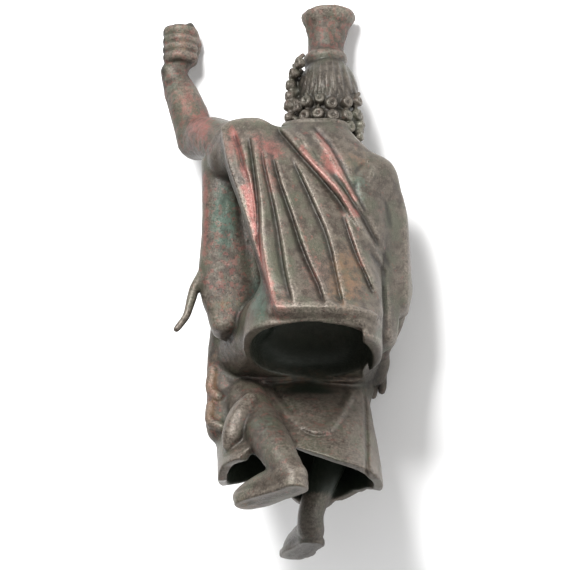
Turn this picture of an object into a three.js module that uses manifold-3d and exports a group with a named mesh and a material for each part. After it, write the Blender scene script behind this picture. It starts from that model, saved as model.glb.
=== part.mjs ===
// A small bronze figure of an enthroned god, cast hollow in one piece. The throne is lost.
// Millimetres. The figure is modelled sitting upright: +X is its right hand side, +Y its front, +Z up,
// with the origin in the plane of the seat, under the spine. At the end it is laid face down.
//
// The body is modelled like clay: a grid of distances to the surface is built up from limbs, rounded
// columns and lumps that flow into each other, and hollows are cut from it. The headdress, the soles and
// the plane of the seat are ordinary solids, joined and cut afterwards.

import * as THREE from 'three';
import { mergeVertices } from 'three/addons/utils/BufferGeometryUtils.js';
import Module from 'manifold-3d';

const GRID = 0.85;              // spacing of the clay grid
const TRIANGLES = 8600;         // left in the clay body after thinning out
const WALL = 2.6;               // thickness of the hanging cloth
const LOOK = THREE.MathUtils.degToRad(22);    // the back folds are drawn as seen from this far below
const LOOK_Z = Math.cos(LOOK);
const LOOK_Y = Math.sin(LOOK);
const SEAT_FRONT = 23;          // the seat plane ends here, where the skirt comes down
const SEAT_WIDTH = 80;          // the seat plane is cut this wide and deep, more than the figure
const SEAT_CUT = 2.4;           // and this far down, to flatten the rim
const SOLE = 2;                 // thickness of a shoe sole
const LIE_PITCH = 113.35;       // degrees that the figure is tipped forward to lie on its front
const LIE_ROLL = 26.53;         // degrees that it then rolls, onto its headdress, left fist and right knee

// Small tools

const clamp = (value, low, high) => Math.min(Math.max(value, low), high);

function smoothMin(a, b, blend) {
  const h = Math.max(blend - Math.abs(a - b), 0) / blend;
  return Math.min(a, b) - h * h * blend * 0.25;
}

const smoothMax = (a, b, blend) => -smoothMin(-a, -b, blend);

// A smooth run through rows of numbers, each row a point with whatever sizes belong to it.
function smoothRows(rows, steps = 5) {
  if (rows.length === 2) return rows.map((row) => [...row]);
  const first = rows[0].map((v, i) => 2 * v - rows[1][i]);
  const last = rows.at(-1).map((v, i) => 2 * v - rows.at(-2)[i]);
  const all = [first, ...rows, last];
  const out = [];
  for (let k = 1; k < all.length - 2; k++) {
    for (let s = 0; s < steps; s++) {
      const t = s / steps;
      out.push(all[k].map((b, i) => catmullRom(all[k - 1][i], b, all[k + 1][i], all[k + 2][i], t)));
    }
  }
  out.push([...rows.at(-1)]);
  return out;
}

function catmullRom(a, b, c, d, t) {
  const linear = (c - a) * t;
  const square = (2 * a - 5 * b + 4 * c - d) * t * t;
  const cube = (3 * b - a - 3 * c + d) * t * t * t;
  return 0.5 * (2 * b + linear + square + cube);
}

// A column of a table, read at a height between its rows. The first number of a row is its height.
function readRow(rows, height, out) {
  let k = 0;
  while (k < rows.length - 2 && rows[k + 1][0] < height) k++;
  const t = clamp((height - rows[k][0]) / (rows[k + 1][0] - rows[k][0]), 0, 1);
  for (let i = 1; i < rows[k].length; i++) out[i - 1] = rows[k][i] + (rows[k + 1][i] - rows[k][i]) * t;
  return out;
}

function boxAround(points, margin = 0) {
  const low = [0, 1, 2].map((i) => Math.min(...points.map((p) => p[i] - (p[3] ?? 0))) - margin);
  const high = [0, 1, 2].map((i) => Math.max(...points.map((p) => p[i] + (p[3] ?? 0))) + margin);
  return [low, high];
}

// Shapes: each has a box and a distance from its surface, negative inside

// A limb: a round tube through points [x, y, z, radius].
function limb(points) {
  const rows = smoothRows(points);
  const distance = (x, y, z) => {
    let best = Infinity;
    for (let k = 0; k < rows.length - 1; k++) {
      const [ax, ay, az, ar] = rows[k];
      const dx = rows[k + 1][0] - ax;
      const dy = rows[k + 1][1] - ay;
      const dz = rows[k + 1][2] - az;
      const px = x - ax;
      const py = y - ay;
      const pz = z - az;
      const t = clamp((px * dx + py * dy + pz * dz) / (dx * dx + dy * dy + dz * dz + 1e-9), 0, 1);
      const radius = ar + t * (rows[k + 1][3] - ar);
      best = Math.min(best, Math.hypot(px - t * dx, py - t * dy, pz - t * dz) - radius);
    }
    return best;
  };
  return { box: boxAround(rows), distance };
}

// An egg-shaped lump.
function lump(centre, radii) {
  const distance = (x, y, z) => {
    const p = [x - centre[0], y - centre[1], z - centre[2]];
    const near = Math.hypot(p[0] / radii[0], p[1] / radii[1], p[2] / radii[2]);
    const slope = Math.hypot(p[0] / radii[0] ** 2, p[1] / radii[1] ** 2, p[2] / radii[2] ** 2) + 1e-6;
    return near * (near - 1) / slope;
  };
  const low = centre.map((c, i) => c - radii[i]);
  const high = centre.map((c, i) => c + radii[i]);
  return { box: [low, high], distance };
}

// An upright column with rounded sections: rows of height, centre x, centre y, half width,
// depth behind, depth in front and squareness. Folds are heights carved over its surface.
function column(stations, folds, soft = 1) {
  const rows = smoothRows(stations, 8);
  const bottom = rows[0][0];
  const top = rows.at(-1)[0];
  const at = [];
  const distance = (x, y, z) => {
    const [cx, cy, width, behind, front, power] = readRow(rows, z, at);
    const u = x - cx;
    const v = y - cy;
    const depth = v < 0 ? behind : front;
    const reach = ((Math.abs(u) / width) ** power + (Math.abs(v) / depth) ** power) ** (1 / power) + 1e-6;
    let d = Math.max(Math.hypot(u, v) * (1 - 1 / reach), -Math.min(width, depth));
    if (folds) d -= folds(x, y, z, cy);
    return smoothMax(d, Math.max(bottom - z, z - top), soft);
  };
  const low = [0, 1, 2].map((i) => Math.min(...rows.map((r) => [r[1] - r[3], r[2] - r[4], r[0]][i])) - 3);
  const high = [0, 1, 2].map((i) => Math.max(...rows.map((r) => [r[1] + r[3], r[2] + r[5], r[0]][i])) + 3);
  return { box: [low, high], distance };
}

function block(low, high) {
  const distance = (...p) => Math.max(...p.map((v, i) => Math.max(low[i] - v, v - high[i])));
  return { box: [low, high], distance };
}

// Folds: a sheet of heights, carved with grooves and ridges along drawn lines

class Folds {
  constructor(low, high, cell = 0.4) {
    this.low = low;
    this.cell = cell;
    this.columns = Math.ceil((high[0] - low[0]) / cell) + 1;
    this.rows = Math.ceil((high[1] - low[1]) / cell) + 1;
    this.height = new Float32Array(this.columns * this.rows);
  }

  // Visits every cell near a line with its distance, side and place along the line.
  along(points, reach, visit) {
    const path = smoothRows(points, 6).map(([x, y]) => new THREE.Vector2(x, y));
    const spans = path.slice(1).map((p, i) => p.distanceTo(path[i]));
    const total = spans.reduce((a, b) => a + b, 0);
    for (let i = 0; i < this.columns; i++) {
      const x = this.low[0] + i * this.cell;
      for (let j = 0; j < this.rows; j++) {
        const y = this.low[1] + j * this.cell;
        let best = reach;
        let side = 1;
        let place = 0;
        let walked = 0;
        for (let k = 0; k < spans.length; k++) {
          const dx = path[k + 1].x - path[k].x;
          const dy = path[k + 1].y - path[k].y;
          const px = x - path[k].x;
          const py = y - path[k].y;
          const t = clamp((px * dx + py * dy) / (spans[k] ** 2 + 1e-9), 0, 1);
          const d = Math.hypot(px - t * dx, py - t * dy);
          if (d < best) {
            best = d;
            side = dx * py - dy * px > 0 ? 1 : -1;
            place = (walked + t * spans[k]) / total;
          }
          walked += spans[k];
        }
        if (best < reach) visit(i * this.rows + j, best, side, place);
      }
    }
  }

  // A crease, with a pleat rounding over on each side of it. It fades out at both ends.
  groove(points, depth, left, right, fade = 0.12) {
    this.along(points, Math.max(left, right), (cell, distance, side, place) => {
      const width = side > 0 ? right : left;
      const taper = clamp(place / fade, 0, 1) * clamp((1 - place) / fade, 0, 1);
      const cut = -depth * taper * clamp(1 - distance / width, 0, 1) ** 1.7;
      const old = this.height[cell];
      this.height[cell] = Math.min(old + 0.35 * cut, old, cut);
    });
  }

  ridge(points, height, width, fade = 0.12) {
    this.along(points, width * 2.2, (cell, distance, side, place) => {
      const taper = clamp(place / fade, 0, 1) * clamp((1 - place) / fade, 0, 1);
      this.height[cell] += height * taper * Math.exp(-((distance / width) ** 2));
    });
  }

  // The cloth layer to the right of a line stands higher.
  layer(points, height, soft) {
    const edge = smoothRows(points, 6).map(([x, y]) => [y, x]).sort((a, b) => a[0] - b[0]);
    const at = [];
    for (let j = 0; j < this.rows; j++) {
      const [x] = readRow(edge, this.low[1] + j * this.cell, at);
      for (let i = 0; i < this.columns; i++) {
        const t = clamp((this.low[0] + i * this.cell - x) / soft + 0.5, 0, 1);
        this.height[i * this.rows + j] += height * t * t * (3 - 2 * t);
      }
    }
  }

  read(x, y) {
    const a = clamp((x - this.low[0]) / this.cell, 0, this.columns - 1.001);
    const b = clamp((y - this.low[1]) / this.cell, 0, this.rows - 1.001);
    const i = Math.floor(a);
    const j = Math.floor(b);
    const s = a - i;
    const t = b - j;
    const h = this.height;
    const k = i * this.rows + j;
    const near = h[k] * (1 - t) + h[k + 1] * t;
    const far = h[k + this.rows] * (1 - t) + h[k + this.rows + 1] * t;
    return near * (1 - s) + far * s;
  }
}

// Clay: distances on a grid

class Clay {
  constructor(low, high, step) {
    this.low = low;
    this.step = step;
    this.size = low.map((v, i) => Math.ceil((high[i] - v) / step) + 1);
    this.value = new Float32Array(this.size[0] * this.size[1] * this.size[2]).fill(5);
  }

  change(shape, blend, mix) {
    const margin = blend + 2 * this.step;
    const [low, high] = shape.box;
    const cell = (v, i) => (v - this.low[i]) / this.step;
    const from = low.map((v, i) => clamp(Math.ceil(cell(v - margin, i)), 0, this.size[i]));
    const to = high.map((v, i) => clamp(Math.floor(cell(v + margin, i)), -1, this.size[i] - 1));
    for (let i = from[0]; i <= to[0]; i++) {
      const x = this.low[0] + i * this.step;
      for (let j = from[1]; j <= to[1]; j++) {
        const y = this.low[1] + j * this.step;
        for (let k = from[2]; k <= to[2]; k++) {
          const n = (i * this.size[1] + j) * this.size[2] + k;
          this.value[n] = mix(this.value[n], shape.distance(x, y, this.low[2] + k * this.step), blend);
        }
      }
    }
  }

  add(shape, blend = 1) {
    this.change(shape, blend, smoothMin);
  }

  cut(shape, blend = 0.5) {
    this.change(shape, blend, (old, d, k) => smoothMax(old, -d, k));
  }

  // The surface where the distance is zero, by splitting each cube of the grid into six tetrahedra.
  surface() {
    const [nx, ny, nz] = this.size;
    const value = this.value;
    const offset = [0, 1, 2, 3, 4, 5, 6, 7].map((c) => ((c & 1) * ny + ((c >> 1) & 1)) * nz + (c >> 2));
    const tetrahedra = [[0, 1, 3, 7], [0, 1, 5, 7], [0, 2, 3, 7], [0, 2, 6, 7], [0, 4, 5, 7], [0, 4, 6, 7]];
    const known = new Map();
    const points = [];
    const triangles = [];
    const place = (node) => [Math.floor(node / (ny * nz)), Math.floor(node / nz) % ny, node % nz]
      .map((v, i) => this.low[i] + v * this.step);
    const crossing = (a, b) => {
      const [near, far] = a < b ? [a, b] : [b, a];
      const key = near * 8 + offset.indexOf(far - near);
      let found = known.get(key);
      if (found === undefined) {
        const t = clamp(value[near] / (value[near] - value[far]), 0.05, 0.95);
        const p = place(near);
        const q = place(far);
        found = points.length / 3;
        points.push(...p.map((v, i) => v + t * (q[i] - v)));
        known.set(key, found);
      }
      return found;
    };
    const face = (a, b, c, outward) => {
      const u = [0, 1, 2].map((i) => points[3 * b + i] - points[3 * a + i]);
      const v = [0, 1, 2].map((i) => points[3 * c + i] - points[3 * a + i]);
      const n = [u[1] * v[2] - u[2] * v[1], u[2] * v[0] - u[0] * v[2], u[0] * v[1] - u[1] * v[0]];
      const along = n[0] * outward[0] + n[1] * outward[1] + n[2] * outward[2];
      triangles.push(a, along > 0 ? b : c, along > 0 ? c : b);
    };
    const split = (nodes) => {
      const inside = nodes.filter((n) => value[n] < 0);
      const outside = nodes.filter((n) => value[n] >= 0);
      if (!inside.length || !outside.length) return;
      const from = place(inside[0]);
      const outward = place(outside[0]).map((v, i) => v - from[i]);
      if (inside.length === 2) {
        const [a, b] = inside;
        const [c, d] = outside;
        const ring = [crossing(a, c), crossing(a, d), crossing(b, d), crossing(b, c)];
        face(ring[0], ring[1], ring[2], outward);
        face(ring[0], ring[2], ring[3], outward);
      } else {
        const [lone, others] = inside.length === 1 ? [inside[0], outside] : [outside[0], inside];
        face(...others.map((n) => crossing(lone, n)), outward);
      }
    };
    for (let i = 0; i < nx - 1; i++) {
      for (let j = 0; j < ny - 1; j++) {
        for (let k = 0; k < nz - 1; k++) {
          const base = (i * ny + j) * nz + k;
          const first = value[base] < 0;
          if (offset.every((o) => value[base + o] < 0 === first)) continue;
          for (const corners of tetrahedra) split(corners.map((c) => base + offset[c]));
        }
      }
    }
    return { points, triangles };
  }
}

// Thinning out: edges are folded away, cheapest first, by the squared distances to the faces around them

class Thinner {
  constructor({ points, triangles }) {
    this.p = Float64Array.from(points);
    this.faces = Int32Array.from(triangles);
    this.count = triangles.length / 3;
    this.alive = new Uint8Array(this.count).fill(1);
    const n = points.length / 3;
    this.version = new Int32Array(n);
    this.quadric = new Float64Array(n * 10);
    this.around = Array.from({ length: n }, () => []);
    for (let f = 0; f < this.count; f++) {
      for (let i = 0; i < 3; i++) this.around[this.faces[3 * f + i]].push(f);
      this.spread(f);
    }
    this.heap = [];
    for (let f = 0; f < this.count; f++) {
      for (let i = 0; i < 3; i++) {
        const a = this.faces[3 * f + i];
        const b = this.faces[3 * f + (i + 1) % 3];
        if (a < b) this.queue(a, b);
      }
    }
  }

  normal(a, b, c) {
    const p = this.p;
    const ux = p[3 * b] - p[3 * a];
    const uy = p[3 * b + 1] - p[3 * a + 1];
    const uz = p[3 * b + 2] - p[3 * a + 2];
    const vx = p[3 * c] - p[3 * a];
    const vy = p[3 * c + 1] - p[3 * a + 1];
    const vz = p[3 * c + 2] - p[3 * a + 2];
    return [uy * vz - uz * vy, uz * vx - ux * vz, ux * vy - uy * vx];
  }

  spread(f) {
    const corners = [this.faces[3 * f], this.faces[3 * f + 1], this.faces[3 * f + 2]];
    const n = this.normal(...corners);
    const size = Math.hypot(...n) + 1e-12;
    const [a, b, c] = n.map((v) => v / size);
    const k = 3 * corners[0];
    const d = -(a * this.p[k] + b * this.p[k + 1] + c * this.p[k + 2]);
    const terms = [a * a, a * b, a * c, a * d, b * b, b * c, b * d, c * c, c * d, d * d];
    for (const corner of corners) {
      for (let i = 0; i < 10; i++) this.quadric[10 * corner + i] += terms[i] * size * 0.5;
    }
  }

  // The best point for a folded edge, and what it costs.
  best(a, b) {
    const q = [];
    for (let i = 0; i < 10; i++) q.push(this.quadric[10 * a + i] + this.quadric[10 * b + i]);
    const cost = (x, y, z) => q[0] * x * x + 2 * q[1] * x * y + 2 * q[2] * x * z + 2 * q[3] * x
      + q[4] * y * y + 2 * q[5] * y * z + 2 * q[6] * y + q[7] * z * z + 2 * q[8] * z + q[9];
    const p = this.p;
    const ends = [a, b].map((v) => [p[3 * v], p[3 * v + 1], p[3 * v + 2]]);
    const middle = ends[0].map((v, i) => (v + ends[1][i]) / 2);
    const length = Math.hypot(...ends[0].map((v, i) => v - ends[1][i]));
    const choices = [middle, ...ends];
    const m = new THREE.Matrix3().set(q[0], q[1], q[2], q[1], q[4], q[5], q[2], q[5], q[7]);
    const scale = (q[0] + q[4] + q[7]) ** 3;
    if (Math.abs(m.determinant()) > 1e-4 * scale) {
      const best = new THREE.Vector3(-q[3], -q[6], -q[8]).applyMatrix3(m.invert());
      const point = best.toArray();
      if (Math.hypot(...point.map((v, i) => v - middle[i])) < 2 * length) choices.push(point);
    }
    const costs = choices.map((c) => Math.max(cost(...c), 0));
    const k = costs.indexOf(Math.min(...costs));
    return [costs[k] + 2e-4 * length * length, choices[k]];
  }

  queue(a, b) {
    const [cost] = this.best(a, b);
    const entry = [cost, a, b, this.version[a] + this.version[b]];
    const heap = this.heap;
    let i = heap.push(entry) - 1;
    while (i > 0) {
      const up = (i - 1) >> 1;
      if (heap[up][0] <= entry[0]) break;
      heap[i] = heap[up];
      i = up;
    }
    heap[i] = entry;
  }

  next() {
    const heap = this.heap;
    const top = heap[0];
    const last = heap.pop();
    if (heap.length) {
      let i = 0;
      while (true) {
        let down = 2 * i + 1;
        if (down >= heap.length) break;
        if (down + 1 < heap.length && heap[down + 1][0] < heap[down][0]) down++;
        if (heap[down][0] >= last[0]) break;
        heap[i] = heap[down];
        i = down;
      }
      heap[i] = last;
    }
    return top;
  }

  neighbours(v) {
    const out = new Set();
    for (const f of this.around[v]) {
      for (let i = 0; i < 3; i++) out.add(this.faces[3 * f + i]);
    }
    out.delete(v);
    return out;
  }

  // Moving a corner to a new point must not turn a face over or leave a sliver.
  keepsFaces(v, other, point) {
    const p = this.p;
    for (const f of this.around[v]) {
      const corners = [this.faces[3 * f], this.faces[3 * f + 1], this.faces[3 * f + 2]];
      if (corners.includes(other)) continue;
      const before = this.normal(...corners);
      const old = [p[3 * v], p[3 * v + 1], p[3 * v + 2]];
      p.set(point, 3 * v);
      const after = this.normal(...corners);
      let longest = 0;
      for (let i = 0; i < 3; i++) {
        const a = 3 * corners[i];
        const b = 3 * corners[(i + 1) % 3];
        const across = (p[a] - p[b]) ** 2 + (p[a + 1] - p[b + 1]) ** 2;
        longest = Math.max(longest, across + (p[a + 2] - p[b + 2]) ** 2);
      }
      p.set(old, 3 * v);
      const sizes = Math.hypot(...before) * Math.hypot(...after);
      const same = before[0] * after[0] + before[1] * after[1] + before[2] * after[2];
      if (same < 0.25 * sizes || Math.hypot(...after) < 0.06 * longest) return false;
    }
    return true;
  }

  fold(a, b) {
    const shared = [...this.neighbours(a)].filter((v) => this.neighbours(b).has(v));
    if (shared.length !== 2) return 0;
    const [, point] = this.best(a, b);
    if (!this.keepsFaces(a, b, point) || !this.keepsFaces(b, a, point)) return 0;
    this.p.set(point, 3 * a);
    for (let i = 0; i < 10; i++) this.quadric[10 * a + i] += this.quadric[10 * b + i];
    let gone = 0;
    for (const f of this.around[b]) {
      const corners = [0, 1, 2].map((i) => this.faces[3 * f + i]);
      if (corners.includes(a)) {
        this.alive[f] = 0;
        gone++;
        for (const v of corners) {
          if (v !== b) this.around[v] = this.around[v].filter((g) => g !== f);
        }
      } else {
        this.faces[3 * f + corners.indexOf(b)] = a;
        this.around[a].push(f);
      }
    }
    this.around[b] = [];
    this.version[b] = -1e9;
    this.version[a]++;
    for (const v of this.neighbours(a)) this.queue(a, v);
    return gone;
  }

  run(target) {
    let left = this.count;
    while (left > target && this.heap.length) {
      const [, a, b, stamp] = this.next();
      if (stamp === this.version[a] + this.version[b]) left -= this.fold(a, b);
    }
    const geometry = new THREE.BufferGeometry();
    const corners = [];
    for (let f = 0; f < this.count; f++) {
      if (this.alive[f]) corners.push(this.faces[3 * f], this.faces[3 * f + 1], this.faces[3 * f + 2]);
    }
    geometry.setAttribute('position', new THREE.BufferAttribute(Float32Array.from(this.p), 3));
    geometry.setIndex(corners);
    return geometry.toNonIndexed();
  }
}

// Folds

// The mantle on the back, drawn as it looks from behind and below.
function mantleFolds() {
  const f = new Folds([-34, -2], [34, 70]);
  f.layer([[-24.5, 66], [-24, 60], [-20.2, 46.5], [-16.7, 35], [-11.8, 20], [-8.7, 10], [-6, 4]], 2.4, 1);
  // pleats that fan out from the left shoulder, from left to right
  f.groove([[-19.9, 59], [-17.1, 43], [-14.6, 32]], 1, 1.3, 2.2);
  f.groove([[-17.4, 52], [-15.9, 44], [-13.8, 33]], 0.8, 1, 2);
  f.groove([[-15.3, 60], [-13.3, 42], [-12.6, 22]], 1.3, 1.5, 2.4);
  f.groove([[-12.6, 57], [-9.5, 38.7], [-5.3, 20.9], [-2.7, 10]], 1.6, 1.6, 2.8);
  f.groove([[-10.8, 60], [-6.3, 43], [-1.7, 29.9], [5.7, 11]], 1.5, 1.6, 3);
  f.groove([[-3.6, 55], [2.8, 39.1], [6.7, 27.1], [11.1, 8.7]], 1.5, 1.8, 3);
  f.groove([[-3.5, 57.5], [0.5, 52], [5, 46], [10.5, 38], [16.5, 28]], 1.4, 2.4, 1.4);
  f.groove([[-1, 61], [7.7, 47.8], [16, 37.7], [23.1, 22.6]], 1.4, 1.6, 2.2);
  f.groove([[2.8, 61.5], [8.7, 52.1], [12.6, 45], [19.5, 37]], 1.6, 1, 3);
  f.groove([[7.7, 37.5], [14.4, 26.1], [19.7, 13.9], [21.3, 8.3]], 1.4, 2.2, 1.8);
  f.ridge([[-8.7, 61.8], [2.4, 51.7], [11.1, 40.5], [18.8, 28.5], [24.1, 19.8]], 0.9, 1);
  return f;
}

function skirtFolds() {
  const f = new Folds([-34, -46], [34, 10]);
  f.groove([[16.6, -11], [17, -24], [17.5, -38]], 1.3, 1, 1.2);
  f.ridge([[-9.5, -12.5], [-5, -18.5], [-1.4, -22], [4, -24], [8.7, -20.5], [11, -17],
    [13.5, -13]], 1.1, 1.3);
  return f;
}

// The tunic on the chest hangs in curves below the neck.
function chestFolds() {
  const f = new Folds([-34, -6], [34, 70]);
  f.groove([[14, 56], [10, 49], [3, 45], [-4, 46], [-9, 52]], 1.2, 2, 2);
  f.groove([[16, 53], [11, 43], [3, 38.5], [-6, 40], [-11, 46]], 1.2, 2, 2);
  f.groove([[18, 50], [13, 37], [4, 31.5], [-6, 33], [-12, 40]], 1.2, 2.2, 2.2);
  f.groove([[20, 44], [15, 30], [6, 24.5], [-4, 26], [-11, 33]], 1.2, 2.2, 2.2);
  f.groove([[12, 58], [15, 44], [17, 30], [17, 20]], 1, 1.6, 1.6);
  return f;
}

function shinFolds() {
  const f = new Folds([-34, -50], [34, 20]);
  f.groove([[-13, 6], [-9, -8], [-8, -22], [-9, -36]], 1.6, 2.4, 2.4);
  f.groove([[-4, 8], [-3, -8], [-4, -22], [-5, -36]], 1.6, 2.4, 2.4);
  f.groove([[3, 6], [2, -8], [1, -22], [0, -36]], 1.5, 2.2, 2.4);
  f.groove([[16, 2], [13, -10], [10, -22], [8, -36]], 1.5, 2.4, 2.4);
  f.groove([[-20, 0], [-20, -12], [-18, -24], [-18, -36]], 1.3, 2.4, 2);
  return f;
}

// Folds of the back and of the front. Each set fades out towards the sides.
function around(back, front, start, fade) {
  return (x, y, z, cy) => {
    const rear = clamp((cy + start - y) / fade, 0, 1);
    const fore = clamp((y - cy - 2) / 5, 0, 1);
    const low = rear && rear * back.read(x, LOOK_Z * z - LOOK_Y * y);
    return low + (fore && fore * front.read(x, z));
  };
}

// Stations of the columns: height, centre x, centre y, half width, depth behind, depth in front, squareness

const TORSO = [
  [-3, 2, 0, 19.5, 17, 17, 2.9],
  [0, 2, 0, 19.5, 17, 17, 2.9],
  [8, 2.4, -0.5, 19, 16, 16, 2.7],
  [20, 4.4, -0.5, 16.6, 13.6, 13, 2.4],
  [32, 4, -0.5, 18.5, 12, 12, 2.4],
  [44, 2.5, -0.8, 20.5, 11.2, 11.5, 2.4],
  [52, 1.5, -1, 19.5, 10, 10.5, 2.2],
  [58, 2, -1.2, 15, 8, 8.5, 2.2],
  [64, 3.5, -1, 8.5, 6, 7, 2.2],
];

const SEAT_HOLLOW = [
  [-6, 1.6, 4, 17, 21, 21, 2.3],
  [0, 1.6, 4, 17, 21, 21, 2.3],
  [6, 1.6, 4, 15.8, 18.5, 20, 2.3],
  [13, 2.4, 2, 13, 13, 13, 2.2],
  [22, 4.2, 0, 12, 9.5, 8.5, 2.2],
  [34, 3.6, -0.5, 13, 8, 7.5, 2.2],
  [44, 2.8, -0.8, 13, 7, 7, 2.1],
];

const SKIRT = [
  [-42, -1, 18, 23.5, 21, 23, 2.6],
  [-30, -2, 23, 22.7, 18.5, 19.5, 2.6],
  [-20, -3, 28, 22, 16.5, 17, 2.6],
  [-10, -4, 32.5, 22, 13.5, 14, 2.6],
  [0, -4, 36, 22.5, 10, 11.5, 2.8],
  [11, -4, 36, 22, 10, 11, 2.8],
];

const SKIRT_HOLLOW = [
  [-52, -1, 15, 24, 23, 25, 2.6],
  ...SKIRT.slice(1, 4),
  [-5, -4, 34, 22, 11, 11.5, 2.8],
].map(([z, x, y, w, b, f, n]) => [z, x, y, w - WALL, b - WALL, f - WALL, n]);

const PANEL = [
  [5.6, -20.5, 9.5, 4, 3.2, 6, 2.4],
  [9, -20.8, 9.5, 6.4, 4.2, 7, 2.4],
  [14, -21.6, 9.5, 7.8, 4.6, 8, 2.4],
  [25, -22.2, 9.5, 7.8, 4.6, 8, 2.4],
  [38, -23, 8, 6.3, 4.6, 8, 2.2],
  [50, -23.8, 6.5, 5.4, 5, 7, 2.2],
  [60, -24.5, 8, 5, 5, 6, 2],
];

// Height of the skirt's hem round the figure: degrees from its right side towards the front, height
const HEM = [[-180, -33], [-125, -27.5], [-95, -32.5], [-60, -36], [-25, -38.5], [10, -35], [50, -32],
  [95, -32], [135, -31], [180, -33]];

function belowHem() {
  const at = [];
  const distance = (x, y, z) => {
    const turn = THREE.MathUtils.radToDeg(Math.atan2(y - 20, x + 1));
    return 0.9 * (z - readRow(HEM, turn, at)[0]);
  };
  return { box: [[-40, -20, -60], [40, 60, -24]], distance };
}

// The figure in clay

function modelClay() {
  const clay = new Clay([-45, -28, -49], [35, 72, 112], GRID);
  lap(clay);
  torso(clay);
  clay.cut(block([-45, -40, -60], [45, SEAT_FRONT + 1.5, -0.7]), 0.3);
  mantleBorder(clay);
  clay.cut(column(SEAT_HOLLOW, null, 3), 0.6);
  skirt(clay);
  rightArm(clay);
  leftArm(clay);
  hangingPanel(clay);
  waistRoll(clay);
  cascade(clay);
  head(clay);
  legs(clay);
  return clay;
}

function lap(clay) {
  clay.add(limb([[-8, 6, 8, 10.5], [-15, 24, 8, 9.5], [-20, 39, 7.5, 8]]), 2);
  clay.add(limb([[11, 6, 8, 10.5], [12, 24, 8, 9.2], [12.5, 39, 8, 8]]), 2);
  clay.add(limb([[6, 4, 9, 10], [5, 22, 8.5, 9.5], [4, 38, 7, 8.5]]), 3);
  clay.add(limb([[-3, 4, 9, 10], [-6, 22, 8.5, 9.5], [-10, 38, 7, 8.5]]), 3);
  // cloth pulled across the lap from the right knee to the left hip
  clay.add(limb([[17, 40, 14.5, 1.2], [6, 34, 16.3, 1.5], [-6, 26, 16, 1.5], [-16, 16, 16.5, 1.2]]), 1.6);
  clay.add(limb([[19, 30, 15, 1.1], [9, 25, 17, 1.5], [-3, 18, 17, 1.4]]), 1.6);
  clay.add(limb([[9, 46, 11, 1.1], [-2, 42, 13.5, 1.4], [-13, 34, 16, 1.4], [-21, 26, 15, 1.1]]), 1.6);
}

function torso(clay) {
  clay.add(column(TORSO, around(mantleFolds(), chestFolds(), 7, 7), 1.2), 1.5);
  clay.add(limb([[-21, 3, 57, 6.5], [-12, 0, 57.5, 6.8], [-2, -1, 57.5, 6.5], [3, 0, 57, 6.5]]), 3);
  clay.add(limb([[14, 0, 52.5, 6], [19.9, 0, 49, 7.2]]), 3);
}

function mantleBorder(clay) {
  clay.add(limb([[-8, -17.2, 2.6, 1.3], [-3, -18.2, 1.6, 1.6], [6, -18.1, 1.5, 1.7], [13.5, -16.6, 1.5, 1.7],
    [18.6, -12.6, 1.6, 1.7], [20.4, -6, 2, 1.5]]), 1.2);
}

function skirt(clay) {
  clay.add(column(SKIRT, around(skirtFolds(), shinFolds(), 2, 7), 1), 1.2);
  clay.cut(column(SKIRT_HOLLOW, null, 2), 0.6);
  clay.cut(belowHem(), 0.5);
}

function rightArm(clay) {
  clay.add(limb([[19.9, 0, 50, 7], [22, 2.5, 38, 7], [24.4, 7, 22, 5.4], [24.6, 9, 19.5, 5.2]]), 2.5);
  clay.add(limb([[24.6, 9, 19.5, 5.2], [23.8, 17, 14.5, 5], [22.2, 27, 10.5, 3.6]]), 1.5);
  clay.add(limb([[21.8, 29, 9.7, 2.9], [21.5, 34, 8.2, 3.4], [21.3, 38, 6, 3.2]]), 1);
  clay.add(limb([[22.3, 38, 6, 1.5], [22.2, 42, 3.4, 1.4], [21.9, 43.5, 1.6, 1.2]]), 0.5);
  clay.add(limb([[20, 37.5, 6, 1.5], [19.9, 42, 2.8, 1.4], [19.9, 44, 0.4, 1.2]]), 0.5);
  clay.add(limb([[17, 3, 44, 7], [18.5, 4, 30, 7], [18.5, 7, 17, 7], [18, 10, 8, 7]]), 2.5);
}

function leftArm(clay) {
  const elbow = [-31.5, 25.5, 73.6, 5.9];
  clay.add(limb([[-17, -1, 57.5, 8.2], [-22, 7, 63.5, 8], [-26.5, 15.5, 69.5, 7], elbow]), 2.5);
  clay.add(limb([[-31.5, 25.6, 73.6, 5.8], [-34.8, 27.5, 85, 5], [-37.2, 29, 91.5, 3.9],
    [-37.6, 28.6, 95.5, 3.7]]), 1.5);
  clay.add(lump([-35.6, 28, 101], [4.4, 5, 5.6]), 1.2);
  for (let i = 0; i < 4; i++) {
    const z = 106.6 - 2.6 * i;
    clay.add(limb([[-38.6, 30, z, 1.7], [-38.9, 25.6, z + 0.3, 1.7], [-35.5, 23.4, z + 0.2, 1.65],
      [-32.4, 25.6, z, 1.6]]), 0.5);
  }
  clay.add(limb([[-33, 30.5, 100, 2], [-31.5, 27.5, 104, 1.8], [-33, 24.5, 107.6, 1.6]]), 0.6);
}

// The mantle's end, which hangs in front of the left side, with the thin curved rod that stands off it.
function hangingPanel(clay) {
  clay.add(column(PANEL, null, 1.5), 1);
  clay.add(limb([[-15, 7, 54, 5], [-15, 9, 38, 4.6], [-14.5, 11, 24, 4.2], [-14, 12, 12, 5]]), 1.5);
  clay.add(limb([[-28.5, 9, 25.5, 1.6], [-31.2, 9.5, 22.5, 1.25], [-33.4, 10, 17.5, 1.1],
    [-34.3, 10, 12.5, 1], [-36.5, 10, 9, 0.9]]), 0.8);
}

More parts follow.
